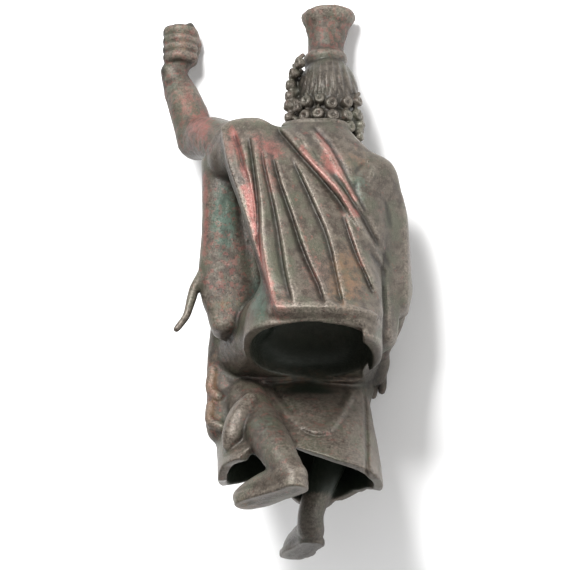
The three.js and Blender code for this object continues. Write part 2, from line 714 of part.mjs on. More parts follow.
function waistRoll(clay) {
  clay.add(limb([[21, 4, 24, 3], [14, 12, 19.5, 3.6], [3, 15, 18, 4], [-8, 14.5, 19.5, 4],
    [-16, 12, 25, 3.6]]), 1.2);
  clay.add(limb([[20, 9, 17, 2.2], [11, 16.5, 14.5, 2.4], [0, 19, 14, 2.4], [-10, 18, 15.5, 2.2]]), 1.2);
  clay.add(limb([[-13, 9, 56, 3.2], [-12, 12, 47, 3.4], [-13, 13, 36, 3.4], [-15, 13.5, 26, 3.6]]), 1.2);
}

// Zigzag folds that fall from the left knee, and one smooth fold between them and the calf.
function cascade(clay) {
  clay.add(limb([[-22, 30, 6, 5.5], [-22.6, 28, -4, 5.2], [-23.2, 26, -11, 4.6],
    [-23.6, 24.5, -15.5, 4]]), 1.5);
  clay.add(limb([[-26, 25, 2, 1.6], [-26.6, 24, -4, 1.6], [-24.5, 22, -7, 1.4]]), 0.8);
  clay.add(limb([[-26.6, 23, -9.5, 1.6], [-26.8, 21.5, -14.5, 1.5], [-23.5, 20, -17, 1.4]]), 0.8);
  clay.add(limb([[-15.5, 14, -11, 2], [-18, 13.5, -16, 3.6], [-20, 13, -21.5, 3.4],
    [-21.5, 13, -25, 1.8]]), 0.8);
}

// A point given from the axis of the head, which is turned to the figure's left.
function onHead(side, forward, z) {
  return [6.4 + 0.866 * side - 0.5 * forward, 3 + 0.5 * side + 0.866 * forward, z];
}

function head(clay) {
  clay.add(limb([[4.5, -0.5, 58, 5.8], [5.6, 1.5, 68, 5.6]]), 1.5);
  clay.add(lump([6.4, 2.6, 77.5], [8.6, 9.6, 10.8]), 1);
  clay.add(lump(onHead(0, 3.6, 75.5), [7.2, 7.2, 10]), 1.5);
  face(clay);
  beard(clay);
  hair(clay);
}

function face(clay) {
  for (const side of [-3.1, 3.1]) {
    clay.cut(lump(onHead(side, 11.2, 76.4), [2.2, 2.2, 1.8]), 1);
    clay.add(lump(onHead(side, 9, 76.4), [1.5, 1.5, 1.2]), 0.3);
    clay.add(lump(onHead(side * 1.2, 8, 72.6), [2.6, 2.6, 2.6]), 1);
  }
  const brow = [[-4.8, 8.6, 78.4, 0.9], [0, 10.6, 78.8, 1], [4.8, 8.6, 78.4, 0.9]];
  const nose = [[0, 10.4, 78.4, 0.9], [0, 11.4, 75.2, 1], [0, 12.1, 72.8, 1.3]];
  const lip = [[-1.8, 10.2, 68.9, 0.7], [0, 10.9, 68.8, 0.9], [1.8, 10.2, 68.9, 0.7]];
  for (const line of [brow, nose, lip]) clay.add(headLimb(line), 0.6);
  for (const s of [-1, 1]) {
    clay.add(headLimb([[0.3 * s, 11, 71, 1], [2.6 * s, 10.2, 70, 1.1], [4.4 * s, 8.4, 67.5, 1]]), 0.5);
  }
}

function headLimb(points) {
  return limb(points.map(([side, forward, z, radius]) => [...onHead(side, forward, z), radius]));
}

function beard(clay) {
  clay.add(lump(onHead(0, 6.8, 66.5), [5.8, 5.8, 5.6]), 1.2);
  const curls = [[1.9, 9.8, 61.6, 2.3], [4.6, 7.4, 64.4, 2.3], [6.2, 5, 68.2, 2.2], [6.8, 3.4, 72, 2.1],
    [2.4, 10.4, 65.8, 1.9]];
  for (const [side, forward, z, size] of curls) {
    for (const turn of [-1, 1]) clay.add(lump(onHead(side * turn, forward, z), [size, size, size]), 0.6);
  }
}

function hair(clay) {
  clay.add(lump([6, 1.5, 67.4], [9.6, 8, 5]), 1);
  for (let i = -2; i <= 2; i++) {
    const side = 2.1 * i;
    const back = Math.abs(i);
    clay.add(headLimb([[side, 7.6, 85, 1.2], [side, 9.6 - 0.25 * back, 82.6, 1.1],
      [side, 9.9 - 0.3 * back, 80.4, 0.8]]), 0.4);
  }
  for (const [side, forward, z] of [[6.6, 5.6, 84.5], [7.8, 4.4, 81], [8.3, 3.4, 77.2], [8.2, 2.4, 73.4]]) {
    for (const turn of [-1, 1]) clay.add(lump(onHead(side * turn, forward, z), [2.3, 2.3, 2.3]), 0.6);
  }
  for (let row = 0; row < 2; row++) {
    for (let i = 0; i < 8; i++) {
      const angle = THREE.MathUtils.degToRad(-178 + 22 * i + 11 * row);
      const reach = 8.6 - 0.5 * row;
      const x = 6 + (reach + 1.2) * Math.cos(angle);
      clay.add(lump([x, 1.5 + reach * Math.sin(angle), 69.6 - 4 * row], [2.2, 2.2, 2.3]), 0.6);
    }
  }
  for (const [x, y, z] of [[15.8, 0, 64.8], [15.4, -1.5, 61.4], [12.4, -3.6, 62.2]]) {
    clay.add(lump([x, y, z], [2.1, 2.1, 2.2]), 0.6);
  }
}

function legs(clay) {
  clay.add(limb([[-20, 36, 2, 7.5], [-14, 19.5, -15, 6.6], [-8.3, 4.8, -29.5, 5.2],
    [-5, 0.5, -37.5, 4.6]]), 1.5);
  clay.add(limb([[13, 38, 2, 6.5], [8, 36, -18, 5], [3, 37, -34, 3.4], [2, 39, -39, 3.3]]), 1.5);
  clay.add(limb([[-3.2, -1.3, -39.8, 3.9], [-9, 3.8, -39.6, 4], [-15, 9.2, -40.6, 3.5],
    [-17.5, 11.4, -41.2, 2.9]]), 1.2);
  clay.add(limb([[2, 41, -40.2, 3.3], [0.2, 47, -39.6, 3.6], [-2.4, 55, -39, 3.3],
    [-3.8, 59, -38.8, 2.6]]), 1.2);
}

// Ordinary solids

function turned(profile, sides) {
  const geometry = new THREE.LatheGeometry(profile.map(([r, z]) => new THREE.Vector2(r, z)), sides);
  return geometry.rotateX(Math.PI / 2);
}

// A flat sole: rows of distance along the foot, offset and half width, then placed heel to toe.
function sole(rows, heel, toe) {
  const points = smoothRows(rows, 4);
  const shape = new THREE.Shape();
  const ring = [];
  const heelRow = points[0];
  const toeRow = points.at(-1);
  for (let a = 90; a <= 270; a += 22.5) {
    const t = THREE.MathUtils.degToRad(a);
    ring.push([heelRow[0] + heelRow[2] * Math.cos(t), heelRow[1] + heelRow[2] * Math.sin(t)]);
  }
  for (const [s, t, r] of points.slice(1, -1)) ring.push([s, t - r]);
  for (let a = -90; a <= 90; a += 22.5) {
    const t = THREE.MathUtils.degToRad(a);
    ring.push([toeRow[0] + toeRow[2] * Math.cos(t), toeRow[1] + toeRow[2] * Math.sin(t)]);
  }
  for (const [s, t, r] of points.slice(1, -1).reverse()) ring.push([s, t + r]);
  ring.forEach(([s, t], i) => (i ? shape.lineTo(s, t) : shape.moveTo(s, t)));
  const geometry = new THREE.ExtrudeGeometry(shape, { depth: SOLE, bevelEnabled: false, steps: 1 });
  const along = toe.clone().sub(heel).normalize();
  const across = new THREE.Vector3(0, 0, 1).cross(along).normalize();
  const up = along.clone().cross(across);
  return geometry.applyMatrix4(new THREE.Matrix4().makeBasis(along, across, up).setPosition(heel));
}

const wasm = await Module();
wasm.setup();

function solid(geometry) {
  const bare = geometry.clone();
  bare.deleteAttribute('normal');
  bare.deleteAttribute('uv');
  const merged = mergeVertices(bare, 1e-5);
  const vertProperties = Float32Array.from(merged.attributes.position.array);
  const triVerts = Uint32Array.from(merged.index.array);
  return new wasm.Manifold(new wasm.Mesh({ numProp: 3, vertProperties, triVerts }));
}

function geometryOf(manifold) {
  const mesh = manifold.getMesh();
  const geometry = new THREE.BufferGeometry();
  geometry.setAttribute('position', new THREE.BufferAttribute(Float32Array.from(mesh.vertProperties), 3));
  geometry.setIndex([...mesh.triVerts]);
  return geometry;
}

// The headdress, turned about an upright axis that leans a little: rows of radius and height
const LEAN = 0.065;
const KALATHOS_SIDES = 28;
const KALATHOS_FOOT = new THREE.Vector3(5.4, 3, 84);
const KALATHOS = [[0, 84], [5, 84], [5.7, 87], [5.7, 88.8], [5.2, 89.8], [5, 92], [5.3, 95], [6.1, 98.5],
  [6.7, 100.2], [7.1, 101.3], [6.9, 102.3], [6.2, 102.8], [5.4, 102.2], [3.4, 101.5], [0, 101.2]];

function kalathos() {
  const lean = new THREE.Matrix4().makeShear(0, 0, 0, 0, LEAN, 0);
  const { x, y, z } = KALATHOS_FOOT;
  return turned(KALATHOS, KALATHOS_SIDES).applyMatrix4(lean).translate(x - LEAN * z, y, 0);
}

function statuette() {
  let body = solid(new Thinner(modelClay().surface()).run(TRIANGLES));
  const throne = new THREE.BoxGeometry(SEAT_WIDTH, SEAT_WIDTH, SEAT_CUT);
  throne.translate(0, SEAT_FRONT - SEAT_WIDTH / 2, -SEAT_CUT / 2);
  body = body.subtract(solid(throne));
  const leftSole = sole([[3.8, 0, 3.9], [11, 0.2, 3.9], [17.5, 0.3, 4.4], [21.6, 0, 3.7]],
    new THREE.Vector3(-0.3, -4, -44), new THREE.Vector3(-19, 13, -44));
  const rightSole = sole([[3.6, 0, 3.5], [10, 0, 3.7], [15, 0.2, 4.6], [19.4, 0, 3.9]],
    new THREE.Vector3(2.9, 40, -44.2), new THREE.Vector3(-4.8, 62, -41.2));
  for (const piece of [kalathos(), leftSole, rightSole]) body = body.add(solid(piece));
  return geometryOf(body);
}

// The finished piece, laid down

const bronze = new THREE.MeshStandardMaterial({ color: 0x4a4238, roughness: 0.5, metalness: 0.85 });
const piece = new THREE.Mesh(statuette(), bronze);
piece.name = 'statuette';

const lying = new THREE.Group();
lying.rotation.set(THREE.MathUtils.degToRad(-LIE_PITCH), 0, 0);
lying.add(piece);
const rolled = new THREE.Group();
rolled.rotation.set(0, THREE.MathUtils.degToRad(LIE_ROLL), 0);
rolled.add(lying);
rolled.updateMatrixWorld(true);
const extent = new THREE.Box3().setFromObject(rolled, true);
const middle = extent.getCenter(new THREE.Vector3());

const model = new THREE.Group();
rolled.position.set(-middle.x, -middle.y, -extent.min.z);
model.add(rolled);

export default model;
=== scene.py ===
"""A small cast bronze of an enthroned god, hollow and in one piece, seen from behind as it lies on its front.

The figure is modelled upright in its own frame, in millimetres: x to its right hand, y to its front and z up,
from the middle of the seat. It is built like clay: a grid of distances to the surface is changed by limbs, lumps
and rounded columns that flow into each other. Folds are heights drawn in the plane of the photograph's view, which
looks at the back from below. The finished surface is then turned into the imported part's own lying position.
"""
import math

import bmesh
import bpy
import numpy as np
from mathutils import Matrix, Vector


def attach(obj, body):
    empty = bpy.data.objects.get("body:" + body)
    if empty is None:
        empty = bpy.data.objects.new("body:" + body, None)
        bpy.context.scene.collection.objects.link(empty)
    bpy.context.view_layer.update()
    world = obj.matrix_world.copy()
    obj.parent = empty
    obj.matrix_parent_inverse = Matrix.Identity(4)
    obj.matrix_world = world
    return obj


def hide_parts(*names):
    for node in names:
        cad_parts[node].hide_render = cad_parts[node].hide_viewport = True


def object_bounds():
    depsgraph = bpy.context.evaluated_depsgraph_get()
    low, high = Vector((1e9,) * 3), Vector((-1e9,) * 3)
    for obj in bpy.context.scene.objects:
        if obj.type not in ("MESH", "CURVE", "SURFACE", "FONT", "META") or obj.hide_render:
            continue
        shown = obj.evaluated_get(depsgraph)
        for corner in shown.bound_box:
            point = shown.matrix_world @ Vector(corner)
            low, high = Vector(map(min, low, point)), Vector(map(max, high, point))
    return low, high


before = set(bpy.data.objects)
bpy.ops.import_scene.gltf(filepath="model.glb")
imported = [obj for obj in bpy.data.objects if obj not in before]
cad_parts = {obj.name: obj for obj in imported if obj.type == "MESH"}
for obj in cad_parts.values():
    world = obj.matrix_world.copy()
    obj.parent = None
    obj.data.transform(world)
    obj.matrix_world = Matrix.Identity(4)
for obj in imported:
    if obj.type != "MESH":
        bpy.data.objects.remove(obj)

import openvdb
from mathutils import Matrix, Vector

CAD_BOX = [list(corner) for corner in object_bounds()]

GRID = 0.38      # spacing of the clay grid
TRIANGLES = 196000
FAR = 4.0                               # distances are kept up to this far from the surface
REACH = 3.4                             # a shape is worked out this far around itself, for folds to rise into
WALL = 2.6                              # thickness of the hanging cloth
LOOK = math.radians(22)                 # the photograph looks at the back from this far below
LOOK_Z = math.cos(LOOK)
LOOK_Y = math.sin(LOOK)
LIE_PITCH = math.radians(113.35)        # the figure is tipped forward to lie on its front
LIE_ROLL = math.radians(26.53)          # and rolls onto its headdress, left fist and right knee
SOLE = 3.0                              # thickness of a shoe sole
MM = 0.001


# Smooth joins and curves

def smooth_min(a, b, blend):
    if blend <= 0:
        return np.minimum(a, b)
    near = np.maximum(blend - np.abs(a - b), 0) / blend
    return np.minimum(a, b) - near * near * blend * 0.25


def smooth_max(a, b, blend):
    return -smooth_min(-a, -b, blend)


def ramp(value):
    """0 below 0, 1 above 1, and an even S between."""
    t = np.clip(value, 0, 1)
    return t * t * (3 - 2 * t)


def curve(rows, steps=5):
    """A smooth run through rows of numbers, each row a point with whatever sizes belong to it."""
    p = np.array(rows, float)
    if len(p) == 2:
        return p
    p = np.vstack([2 * p[0] - p[1], p, 2 * p[-1] - p[-2]])
    out = []
    for a, b, c, d in zip(p[:-3], p[1:-2], p[2:-1], p[3:]):
        for t in np.linspace(0, 1, steps, endpoint=False):
            linear = (c - a) * t
            square = (2 * a - 5 * b + 4 * c - d) * t ** 2
            cube = (3 * b - a - 3 * c + d) * t ** 3
            out.append(0.5 * (2 * b + linear + square + cube))
    out.append(p[-2])
    return np.array(out)


def path_distance(u, v, rows):
    """Distance from (u, v) to a path, the side it lies on (+1 is right of the path, going down) and how far along."""
    path = curve(rows, 6)
    steps = np.diff(path, axis=0)
    lengths = np.hypot(steps[:, 0], steps[:, 1])
    starts = np.concatenate([[0], np.cumsum(lengths)])
    shape = np.broadcast(u, v).shape
    best = np.full(shape, 1e9, np.float32)
    side = np.ones(shape, np.float32)
    along = np.zeros(shape, np.float32)
    for a, d, length, start in zip(path, steps, lengths, starts):
        pu = u - a[0]
        pv = v - a[1]
        h = np.clip((pu * d[0] + pv * d[1]) / (length ** 2 + 1e-9), 0, 1)
        distance = np.hypot(pu - h * d[0], pv - h * d[1])
        near = distance < best
        best = np.where(near, distance, best)
        side = np.where(near, np.where(d[0] * pv - d[1] * pu > 0, 1, -1), side)
        along = np.where(near, (start + h * length) / starts[-1], along)
    return best, side, along


# Shapes: each has a box and gives distances to its surface

class Limb:
    """A round limb through rows of x, y, z and radius."""

    def __init__(self, rows):
        self.rows = curve(rows)
        radius = self.rows[:, 3:4]
        self.box = ((self.rows[:, :3] - radius).min(0), (self.rows[:, :3] + radius).max(0))

    def __call__(self, x, y, z):
        best = FAR * 9
        for a, b in zip(self.rows[:-1], self.rows[1:]):
            d = b - a
            px, py, pz = x - a[0], y - a[1], z - a[2]
            h = np.clip((px * d[0] + py * d[1] + pz * d[2]) / (d[:3] @ d[:3] + 1e-9), 0, 1)
            away = np.sqrt((px - h * d[0]) ** 2 + (py - h * d[1]) ** 2 + (pz - h * d[2]) ** 2)
            best = np.minimum(best, away - a[3] - h * d[3])
        return best


class Lump:
    """An ellipsoid."""

    def __init__(self, centre, radii):
        self.centre = np.array(centre, float)
        self.radii = np.array(radii, float) * np.ones(3)
        self.box = (self.centre - self.radii, self.centre + self.radii)

    def __call__(self, x, y, z):
        p = [v - c for v, c in zip((x, y, z), self.centre)]
        near = np.sqrt(sum((q / r) ** 2 for q, r in zip(p, self.radii)))
        slope = np.sqrt(sum((q / r ** 2) ** 2 for q, r in zip(p, self.radii))) + 1e-6
        return near * (near - 1) / slope


class Ring:
    """A torus: centre, axis, radius and thickness of the ring."""

    def __init__(self, centre, axis, radius, thick):
        self.centre = np.array(centre, float)
        self.axis = np.array(axis, float) / np.linalg.norm(axis)
        self.radius = radius
        self.thick = thick
        self.box = (self.centre - radius - thick, self.centre + radius + thick)

    def __call__(self, x, y, z):
        p = [v - c for v, c in zip((x, y, z), self.centre)]
        height = sum(q * a for q, a in zip(p, self.axis))
        out = np.sqrt(np.maximum(sum(q * q for q in p) - height ** 2, 0))
        return np.hypot(out - self.radius, height) - self.thick


class Column:
    """An upright body with superelliptic sections.

    Rows of height, centre x, centre y, half width, depth behind, depth in front, squareness."""

    def __init__(self, rows, folds=None, soft=1.0):
        rows = curve(rows, 8)
        self.rows = rows[np.argsort(rows[:, 0])]
        self.folds = folds
        self.soft = soft
        z, cx, cy, half, behind, front = self.rows[:, :6].T
        self.box = (np.array([(cx - half).min() - 3, (cy - behind).min() - 3, z[0]]),
                    np.array([(cx + half).max() + 3, (cy + front).max() + 3, z[-1]]))

    def __call__(self, x, y, z):
        heights = self.rows[:, 0]
        cx, cy, half, behind, front, power = [np.interp(z, heights, c).astype(np.float32) for c in self.rows.T[1:]]
        u = x - cx
        v = y - cy
        depth = np.where(v < 0, behind, front)
        share = ((np.abs(u) / half) ** power + (np.abs(v) / depth) ** power) ** (1 / power) + 1e-6
        away = np.maximum(np.hypot(u, v) * (1 - 1 / share), -np.minimum(half, depth))
        if self.folds is not None:
            away = away - self.folds(x, y, z, cy)
        return smooth_max(away, np.maximum(heights[0] - z, z - heights[-1]), self.soft)


class Lathe:
    """A turned shape on an upright axis that may lean: rows of height and radius."""

    def __init__(self, x, y, rows, lean=0.0):
        self.x = x
        self.y = y
        self.lean = lean
        self.rows = curve(rows, 6)
        reach = self.rows[:, 1].max() + 2
        low, high = self.rows[0, 0], self.rows[-1, 0]
        self.box = (np.array([x - reach, y - reach, low]), np.array([x + reach, y + reach, high]))

    def __call__(self, x, y, z):
        out = np.hypot(x - self.x - self.lean * (z - self.rows[0, 0]), y - self.y)
        radius = np.interp(z, self.rows[:, 0], self.rows[:, 1]).astype(np.float32)
        return smooth_max((out - radius) * 0.9, np.maximum(self.rows[0, 0] - z, z - self.rows[-1, 0]), 0.8)


class Block:
    """A box between two corners."""

    def __init__(self, low, high):
        self.box = (np.array(low, float), np.array(high, float))

    def __call__(self, x, y, z):
        sides = [np.maximum(a - v, v - b) for v, a, b in zip((x, y, z), *self.box)]
        return np.maximum(np.maximum(sides[0], sides[1]), sides[2])


class Slab:
    """A flat slab from heel to toe: rows of distance along, distance across and half width."""

    def __init__(self, heel, toe, rows, low, high):
        self.heel = np.array(heel, float)
        toe = np.array(toe, float)
        self.along = (toe - self.heel) / np.linalg.norm(toe - self.heel)
        across = np.array([self.along[1], -self.along[0], 0])
        self.across = across / np.linalg.norm(across)
        self.up = np.cross(self.across, self.along)
        self.rows = curve(rows)
        self.low = low
        self.high = high
        reach = np.linalg.norm(toe - self.heel) + 7
        self.box = (self.heel - reach, self.heel + reach)

    def __call__(self, x, y, z):
        p = [v - h for v, h in zip((x, y, z), self.heel)]
        s, t, n = [sum(q * a for q, a in zip(p, axis)) for axis in (self.along, self.across, self.up)]
        best = FAR * 9
        for a, b in zip(self.rows[:-1], self.rows[1:]):
            d = b - a
            h = np.clip(((s - a[0]) * d[0] + (t - a[1]) * d[1]) / (d[:2] @ d[:2] + 1e-9), 0, 1)
            away = np.hypot(s - a[0] - h * d[0], t - a[1] - h * d[1])
            best = np.minimum(best, away - a[2] - h * d[2])
        return smooth_max(best, np.maximum(self.low - n, n - self.high), 0.4)


class Folds:
    """Heights over a plane, drawn as grooves, ridges and layers along paths."""

    def __init__(self, low, high, cell=0.2):
        self.low = low
        self.cell = cell
        self.u = np.arange(low[0], high[0] + cell, cell, dtype=np.float32)[:, None]
        self.v = np.arange(low[1], high[1] + cell, cell, dtype=np.float32)[None, :]
        self.height = np.zeros((self.u.size, self.v.size), np.float32)
        self.sunk = np.zeros_like(self.height)

    def near(self, rows, reach, fade, tail):
        """The part of the plane near a path, with the distance, the side and the fading at both ends."""
        path = curve(rows, 6)
        u0, v0 = path[:, :2].min(0) - reach
        u1, v1 = path[:, :2].max(0) + reach
        cut = (slice(*np.searchsorted(self.u[:, 0], (u0, u1))), slice(*np.searchsorted(self.v[0], (v0, v1))))
        distance, side, along = path_distance(self.u[cut[0]], self.v[:, cut[1]], rows)
        start = ramp(along / fade) if fade else 1
        end = ramp((1 - along) / tail) if tail else 1
        return cut, distance, side, start * end

    def groove(self, rows, depth, left, right, fade=0.12, tail=0.12):
        cut, distance, side, strength = self.near(rows, max(left, right) + 1, fade, tail)
        width = np.where(side > 0, right, left)
        sunk = -depth * strength * np.clip(1 - distance / width, 0, 1) ** 1.7
        old = self.sunk[cut]
        self.sunk[cut] = np.minimum(old + 0.35 * sunk, np.minimum(old, sunk))

    def ridge(self, rows, height, width, fade=0.12, tail=0.12):
        cut, distance, _, strength = self.near(rows, width * 2.2, fade, tail)
        self.height[cut] += height * strength * np.exp(-(distance / width) ** 2)

    def pleat(self, rows, height, width, side, fade=0.15, tail=0.15):
        """A lap of cloth: raised against the path on one side, falling off gently over its width."""
        cut, distance, hand, strength = self.near(rows, width + 1, fade, tail)
        across = distance * hand * side
        rise = ramp(across / 0.7 + 0.5) * np.clip(1 - across / width, 0, 1)
        self.height[cut] += height * strength * rise

    def layer(self, rows, height, soft):
        """Raises everything to the right of the path."""
        path = curve(rows, 6)
        order = np.argsort(path[:, 1])
        edge = np.interp(self.v[0], path[order, 1], path[order, 0])[None, :]
        self.height += height * ramp((self.u - edge) / soft + 0.5)

    def __call__(self, u, v):
        a = np.clip((u - self.low[0]) / self.cell, 0, self.u.size - 1.001)
        b = np.clip((v - self.low[1]) / self.cell, 0, self.v.size - 1.001)
        i = a.astype(np.int32)
        j = b.astype(np.int32)
        a = a - i
        b = b - j
        h = self.height + self.sunk
        near = h[i, j] * (1 - a) + h[i + 1, j] * a
        far = h[i, j + 1] * (1 - a) + h[i + 1, j + 1] * a
        return near * (1 - b) + far * b


class Clay:
    """Distances to the surface on a grid."""

    def __init__(self, low, high, step):
        self.step = step
        self.low = np.array(low, float)
        self.axes = [np.arange(a, b + step, step, dtype=np.float32) for a, b in zip(low, high)]
        self.value = np.full([len(a) for a in self.axes], FAR + 1, np.float32)

    def window(self, low, high, margin):
        cuts = [slice(*np.searchsorted(a, (lo - margin, hi + margin))) for a, lo, hi in zip(self.axes, low, high)]
        x = self.axes[0][cuts[0]][:, None, None]
        y = self.axes[1][cuts[1]][None, :, None]
        z = self.axes[2][cuts[2]][None, None, :]
        return tuple(cuts), x, y, z

    def add(self, shape, blend=1.0):
        cuts, x, y, z = self.window(*shape.box, max(blend, REACH) + 2 * self.step)
        self.value[cuts] = smooth_min(self.value[cuts], shape(x, y, z), blend)

    def cut(self, shape, blend=0.5):
        cuts, x, y, z = self.window(*shape.box, blend + 2 * self.step)
        self.value[cuts] = smooth_max(self.value[cuts], -shape(x, y, z), blend)

    def carve(self, folds, low, high, fade=2.5):
        """Lays folds on whatever faces the photograph's view inside a box, fading out at the box's sides."""
        cuts, x, y, z = self.window(low, high, 0)
        value = self.value[cuts]
        slope = np.gradient(value, self.step)
        steep = np.sqrt(sum(s * s for s in slope)) + 1e-6
        facing = -(LOOK_Z * slope[1] + LOOK_Y * slope[2]) / steep
        height = folds(x + 0 * y, LOOK_Z * z - LOOK_Y * y)
        strength = ramp(facing / 0.5) * ramp(1 + value / FAR)
        for v, a, b in zip((x, y, z), low, high):
            strength = strength * ramp((v - a) / fade) * ramp((b - v) / fade)
        self.value[cuts] = value - height * strength

    def read(self, points):
        """The distance at points, by straight blending between the grid's corners."""
        q = (points - self.low) / self.step
        limit = np.array(self.value.shape) - 1.001
        q = np.clip(q, 0, limit)
        i, j, k = q.astype(int).T
        a, b, c = (q - np.floor(q)).T
        v = self.value
        low = (v[i, j, k] * (1 - a) + v[i + 1, j, k] * a) * (1 - b)
        low = low + (v[i, j + 1, k] * (1 - a) + v[i + 1, j + 1, k] * a) * b
        high = (v[i, j, k + 1] * (1 - a) + v[i + 1, j, k + 1] * a) * (1 - b)
        high = high + (v[i, j + 1, k + 1] * (1 - a) + v[i + 1, j + 1, k + 1] * a) * b
        return low * (1 - c) + high * c


# Cloth of the back and front, as heights

# The pleats of the mantle fan out from the left shoulder. Each is a path down the back, from left to right.
MANTLE_EDGE = [(-24.6, 64), (-23.9, 59.8), (-21.9, 50.7), (-18.8, 41.6), (-15.1, 30.2), (-11.8, 20.1), (-8.8, 11.1),
               (-6.5, 5)]
EDGE_PLEAT = [(-20.7, 60.7), (-18.8, 55.1), (-17.4, 50.3), (-16.1, 46.4), (-15.1, 41.6), (-13.9, 33)]
FIRST_PLEAT = [(-16.1, 60), (-15.1, 55.1), (-14.1, 48), (-13.2, 38.9), (-12.8, 28.2), (-12, 23.2), (-10.2, 14)]
SECOND_PLEAT = [(-12.6, 57), (-11.2, 49.5), (-9.4, 41.6), (-7.3, 31), (-5.6, 20), (-3.2, 10)]
THIRD_PLEAT = [(-9.6, 55), (-7, 45.6), (-3.8, 36.3), (-0.1, 25.5), (3.9, 16.4), (5.8, 9.3)]
FOURTH_PLEAT = [(-4.4, 54), (-1.4, 47.8), (2.6, 38.9), (6.4, 29.6), (9, 17.8), (11, 9)]
DEEP_FOLD = [(-8.6, 61.7), (-5.4, 58.2), (-2, 54.2), (2.1, 49.6), (5.3, 45.9), (9.2, 41.1), (12.5, 36)]
LOWER_FOLD = [(9.2, 41.1), (12.4, 31), (14.7, 24.5), (16.8, 19.9), (19.6, 13)]
BRIGHT_FOLD = [(-4, 61), (-1.4, 58.7), (2.1, 54.2), (5.3, 49.9), (9.2, 44.3), (12, 38.9), (14.7, 34.9), (18, 29)]
UPPER_FOLD = [(-0.1, 57.5), (3.9, 51.8), (7.4, 47.5), (10.6, 44), (13.3, 40), (15.7, 36.3), (18.7, 30.9), (21.4, 26.1)]
MANTLE_TOP = [(0.8, 62), (4, 59), (6.9, 55.5), (8.8, 52.3), (10.4, 49.1), (12.8, 44.5), (15, 40.3), (17.4, 35.5)]


def mantle_folds():
    f = Folds((-34, -2), (34, 70))
    f.layer(MANTLE_EDGE, 2.0, 0.6)
    f.ridge(MANTLE_EDGE, 0.5, 1.2)
    f.groove(EDGE_PLEAT, 0.9, 1.8, 1.8)
    f.ridge([(-17.4, 52), (-15.7, 46.1), (-14.8, 40.5), (-13.7, 34), (-13.3, 29)], 0.6, 0.9)
    f.groove(FIRST_PLEAT, 1.3, 2.6, 1)
    f.pleat(FIRST_PLEAT, 1.2, 4.6, 1)
    f.groove(SECOND_PLEAT, 0.9, 3.2, 0.8)
    f.pleat(SECOND_PLEAT, 1.0, 4.4, 1)
    f.groove(THIRD_PLEAT, 0.9, 3.4, 0.9)
    f.pleat(THIRD_PLEAT, 1.2, 6, 1)
    f.groove(FOURTH_PLEAT, 0.8, 3.6, 0.8)
    f.pleat(FOURTH_PLEAT, 0.9, 5, 1)
    f.groove(DEEP_FOLD, 1.5, 3.6, 1.1)
    f.pleat(DEEP_FOLD, 1.0, 3, 1, 0.15, 0.4)
    f.groove(LOWER_FOLD, 1.0, 3.2, 1.1, 0.4)
    f.pleat(LOWER_FOLD, 0.8, 4, 1, 0.4)
    f.ridge(BRIGHT_FOLD, 1.2, 1.0)
    f.groove(UPPER_FOLD, 1.3, 1.6, 1.8)
    f.groove(MANTLE_TOP, 1.1, 1.2, 2.4)
    f.pleat(MANTLE_TOP, 0.9, 2, -1)
    f.groove([(20, 29.3), (21.6, 25.8), (23, 22.9), (24.3, 20.2)], 0.6, 1.8, 1.6, 0.4, 0.4)
    f.groove([(17.1, 27.7), (19, 24.8), (21.4, 21.3), (23.2, 16)], 0.8, 2, 1.8, 0.4, 0.4)
    f.ridge([(19.6, 51.2), (18.5, 48.1), (17.4, 44.3)], 0.9, 1.2, 0.5, 0.5)
    f.groove([(17.6, 52.3), (14.3, 48.9), (13.2, 45.6)], 0.9, 2.4, 2.4, 0.5, 0.5)
    f.groove([(15.2, 47.5), (13.9, 44.5), (13.6, 40.5)], 1.2, 2.6, 2.6, 0.5, 0.5)
    f.groove([(21.5, 44), (23, 38), (24.2, 33), (25.6, 31)], 0.8, 2.6, 2.6, 0.5, 0.5)
    return f


def skirt_folds():
    f = Folds((-34, -46), (34, 10))
    f.groove([(16.8, -11.3), (17.1, -21.1), (17.2, -29.5), (17.2, -38)], 1.4, 0.9, 1.1)
    f.groove([(-12.6, -7), (-9.2, -12.1), (-6, -16.3), (-2.7, -20)], 1.3, 1.6, 1.6)
    f.ridge([(-4.8, -18.6), (-1.4, -21.9), (2, -23.5), (5.3, -23.7), (8.1, -21.9), (11.2, -17.2), (14, -12)], 1.1, 1.3)
    f.groove([(-1.4, -23.6), (2.4, -25.4), (6.4, -25.2)], 0.7, 1.2, 1.2)
    return f


def chest_folds():
    f = Folds((-34, -6), (34, 70))
    f.groove([(14, 56), (10, 49), (3, 45), (-4, 46), (-9, 52)], 1.2, 2, 2)
    f.groove([(16, 53), (11, 43), (3, 38.5), (-6, 40), (-11, 46)], 1.2, 2, 2)
    f.groove([(18, 50), (13, 37), (4, 31.5), (-6, 33), (-12, 40)], 1.2, 2.2, 2.2)
    f.groove([(20, 44), (15, 30), (6, 24.5), (-4, 26), (-11, 33)], 1.2, 2.2, 2.2)
    f.groove([(12, 58), (15, 44), (17, 30), (17, 20)], 1, 1.6, 1.6)
    return f


def shin_folds():
    f = Folds((-34, -50), (34, 20))
    f.groove([(-13, 6), (-9, -8), (-8, -22), (-9, -36)], 1.6, 2.4, 2.4)
    f.groove([(-4, 8), (-3, -8), (-4, -22), (-5, -36)], 1.6, 2.4, 2.4)
    f.groove([(3, 6), (2, -8), (1, -22), (0, -36)], 1.5, 2.2, 2.4)
    f.groove([(16, 2), (13, -10), (10, -22), (8, -36)], 1.5, 2.4, 2.4)
    f.groove([(-20, 0), (-20, -12), (-18, -24), (-18, -36)], 1.3, 2.4, 2)
    f.groove([(18, -6), (18, -18), (17, -36)], 1.3, 1.8, 2)
    return f


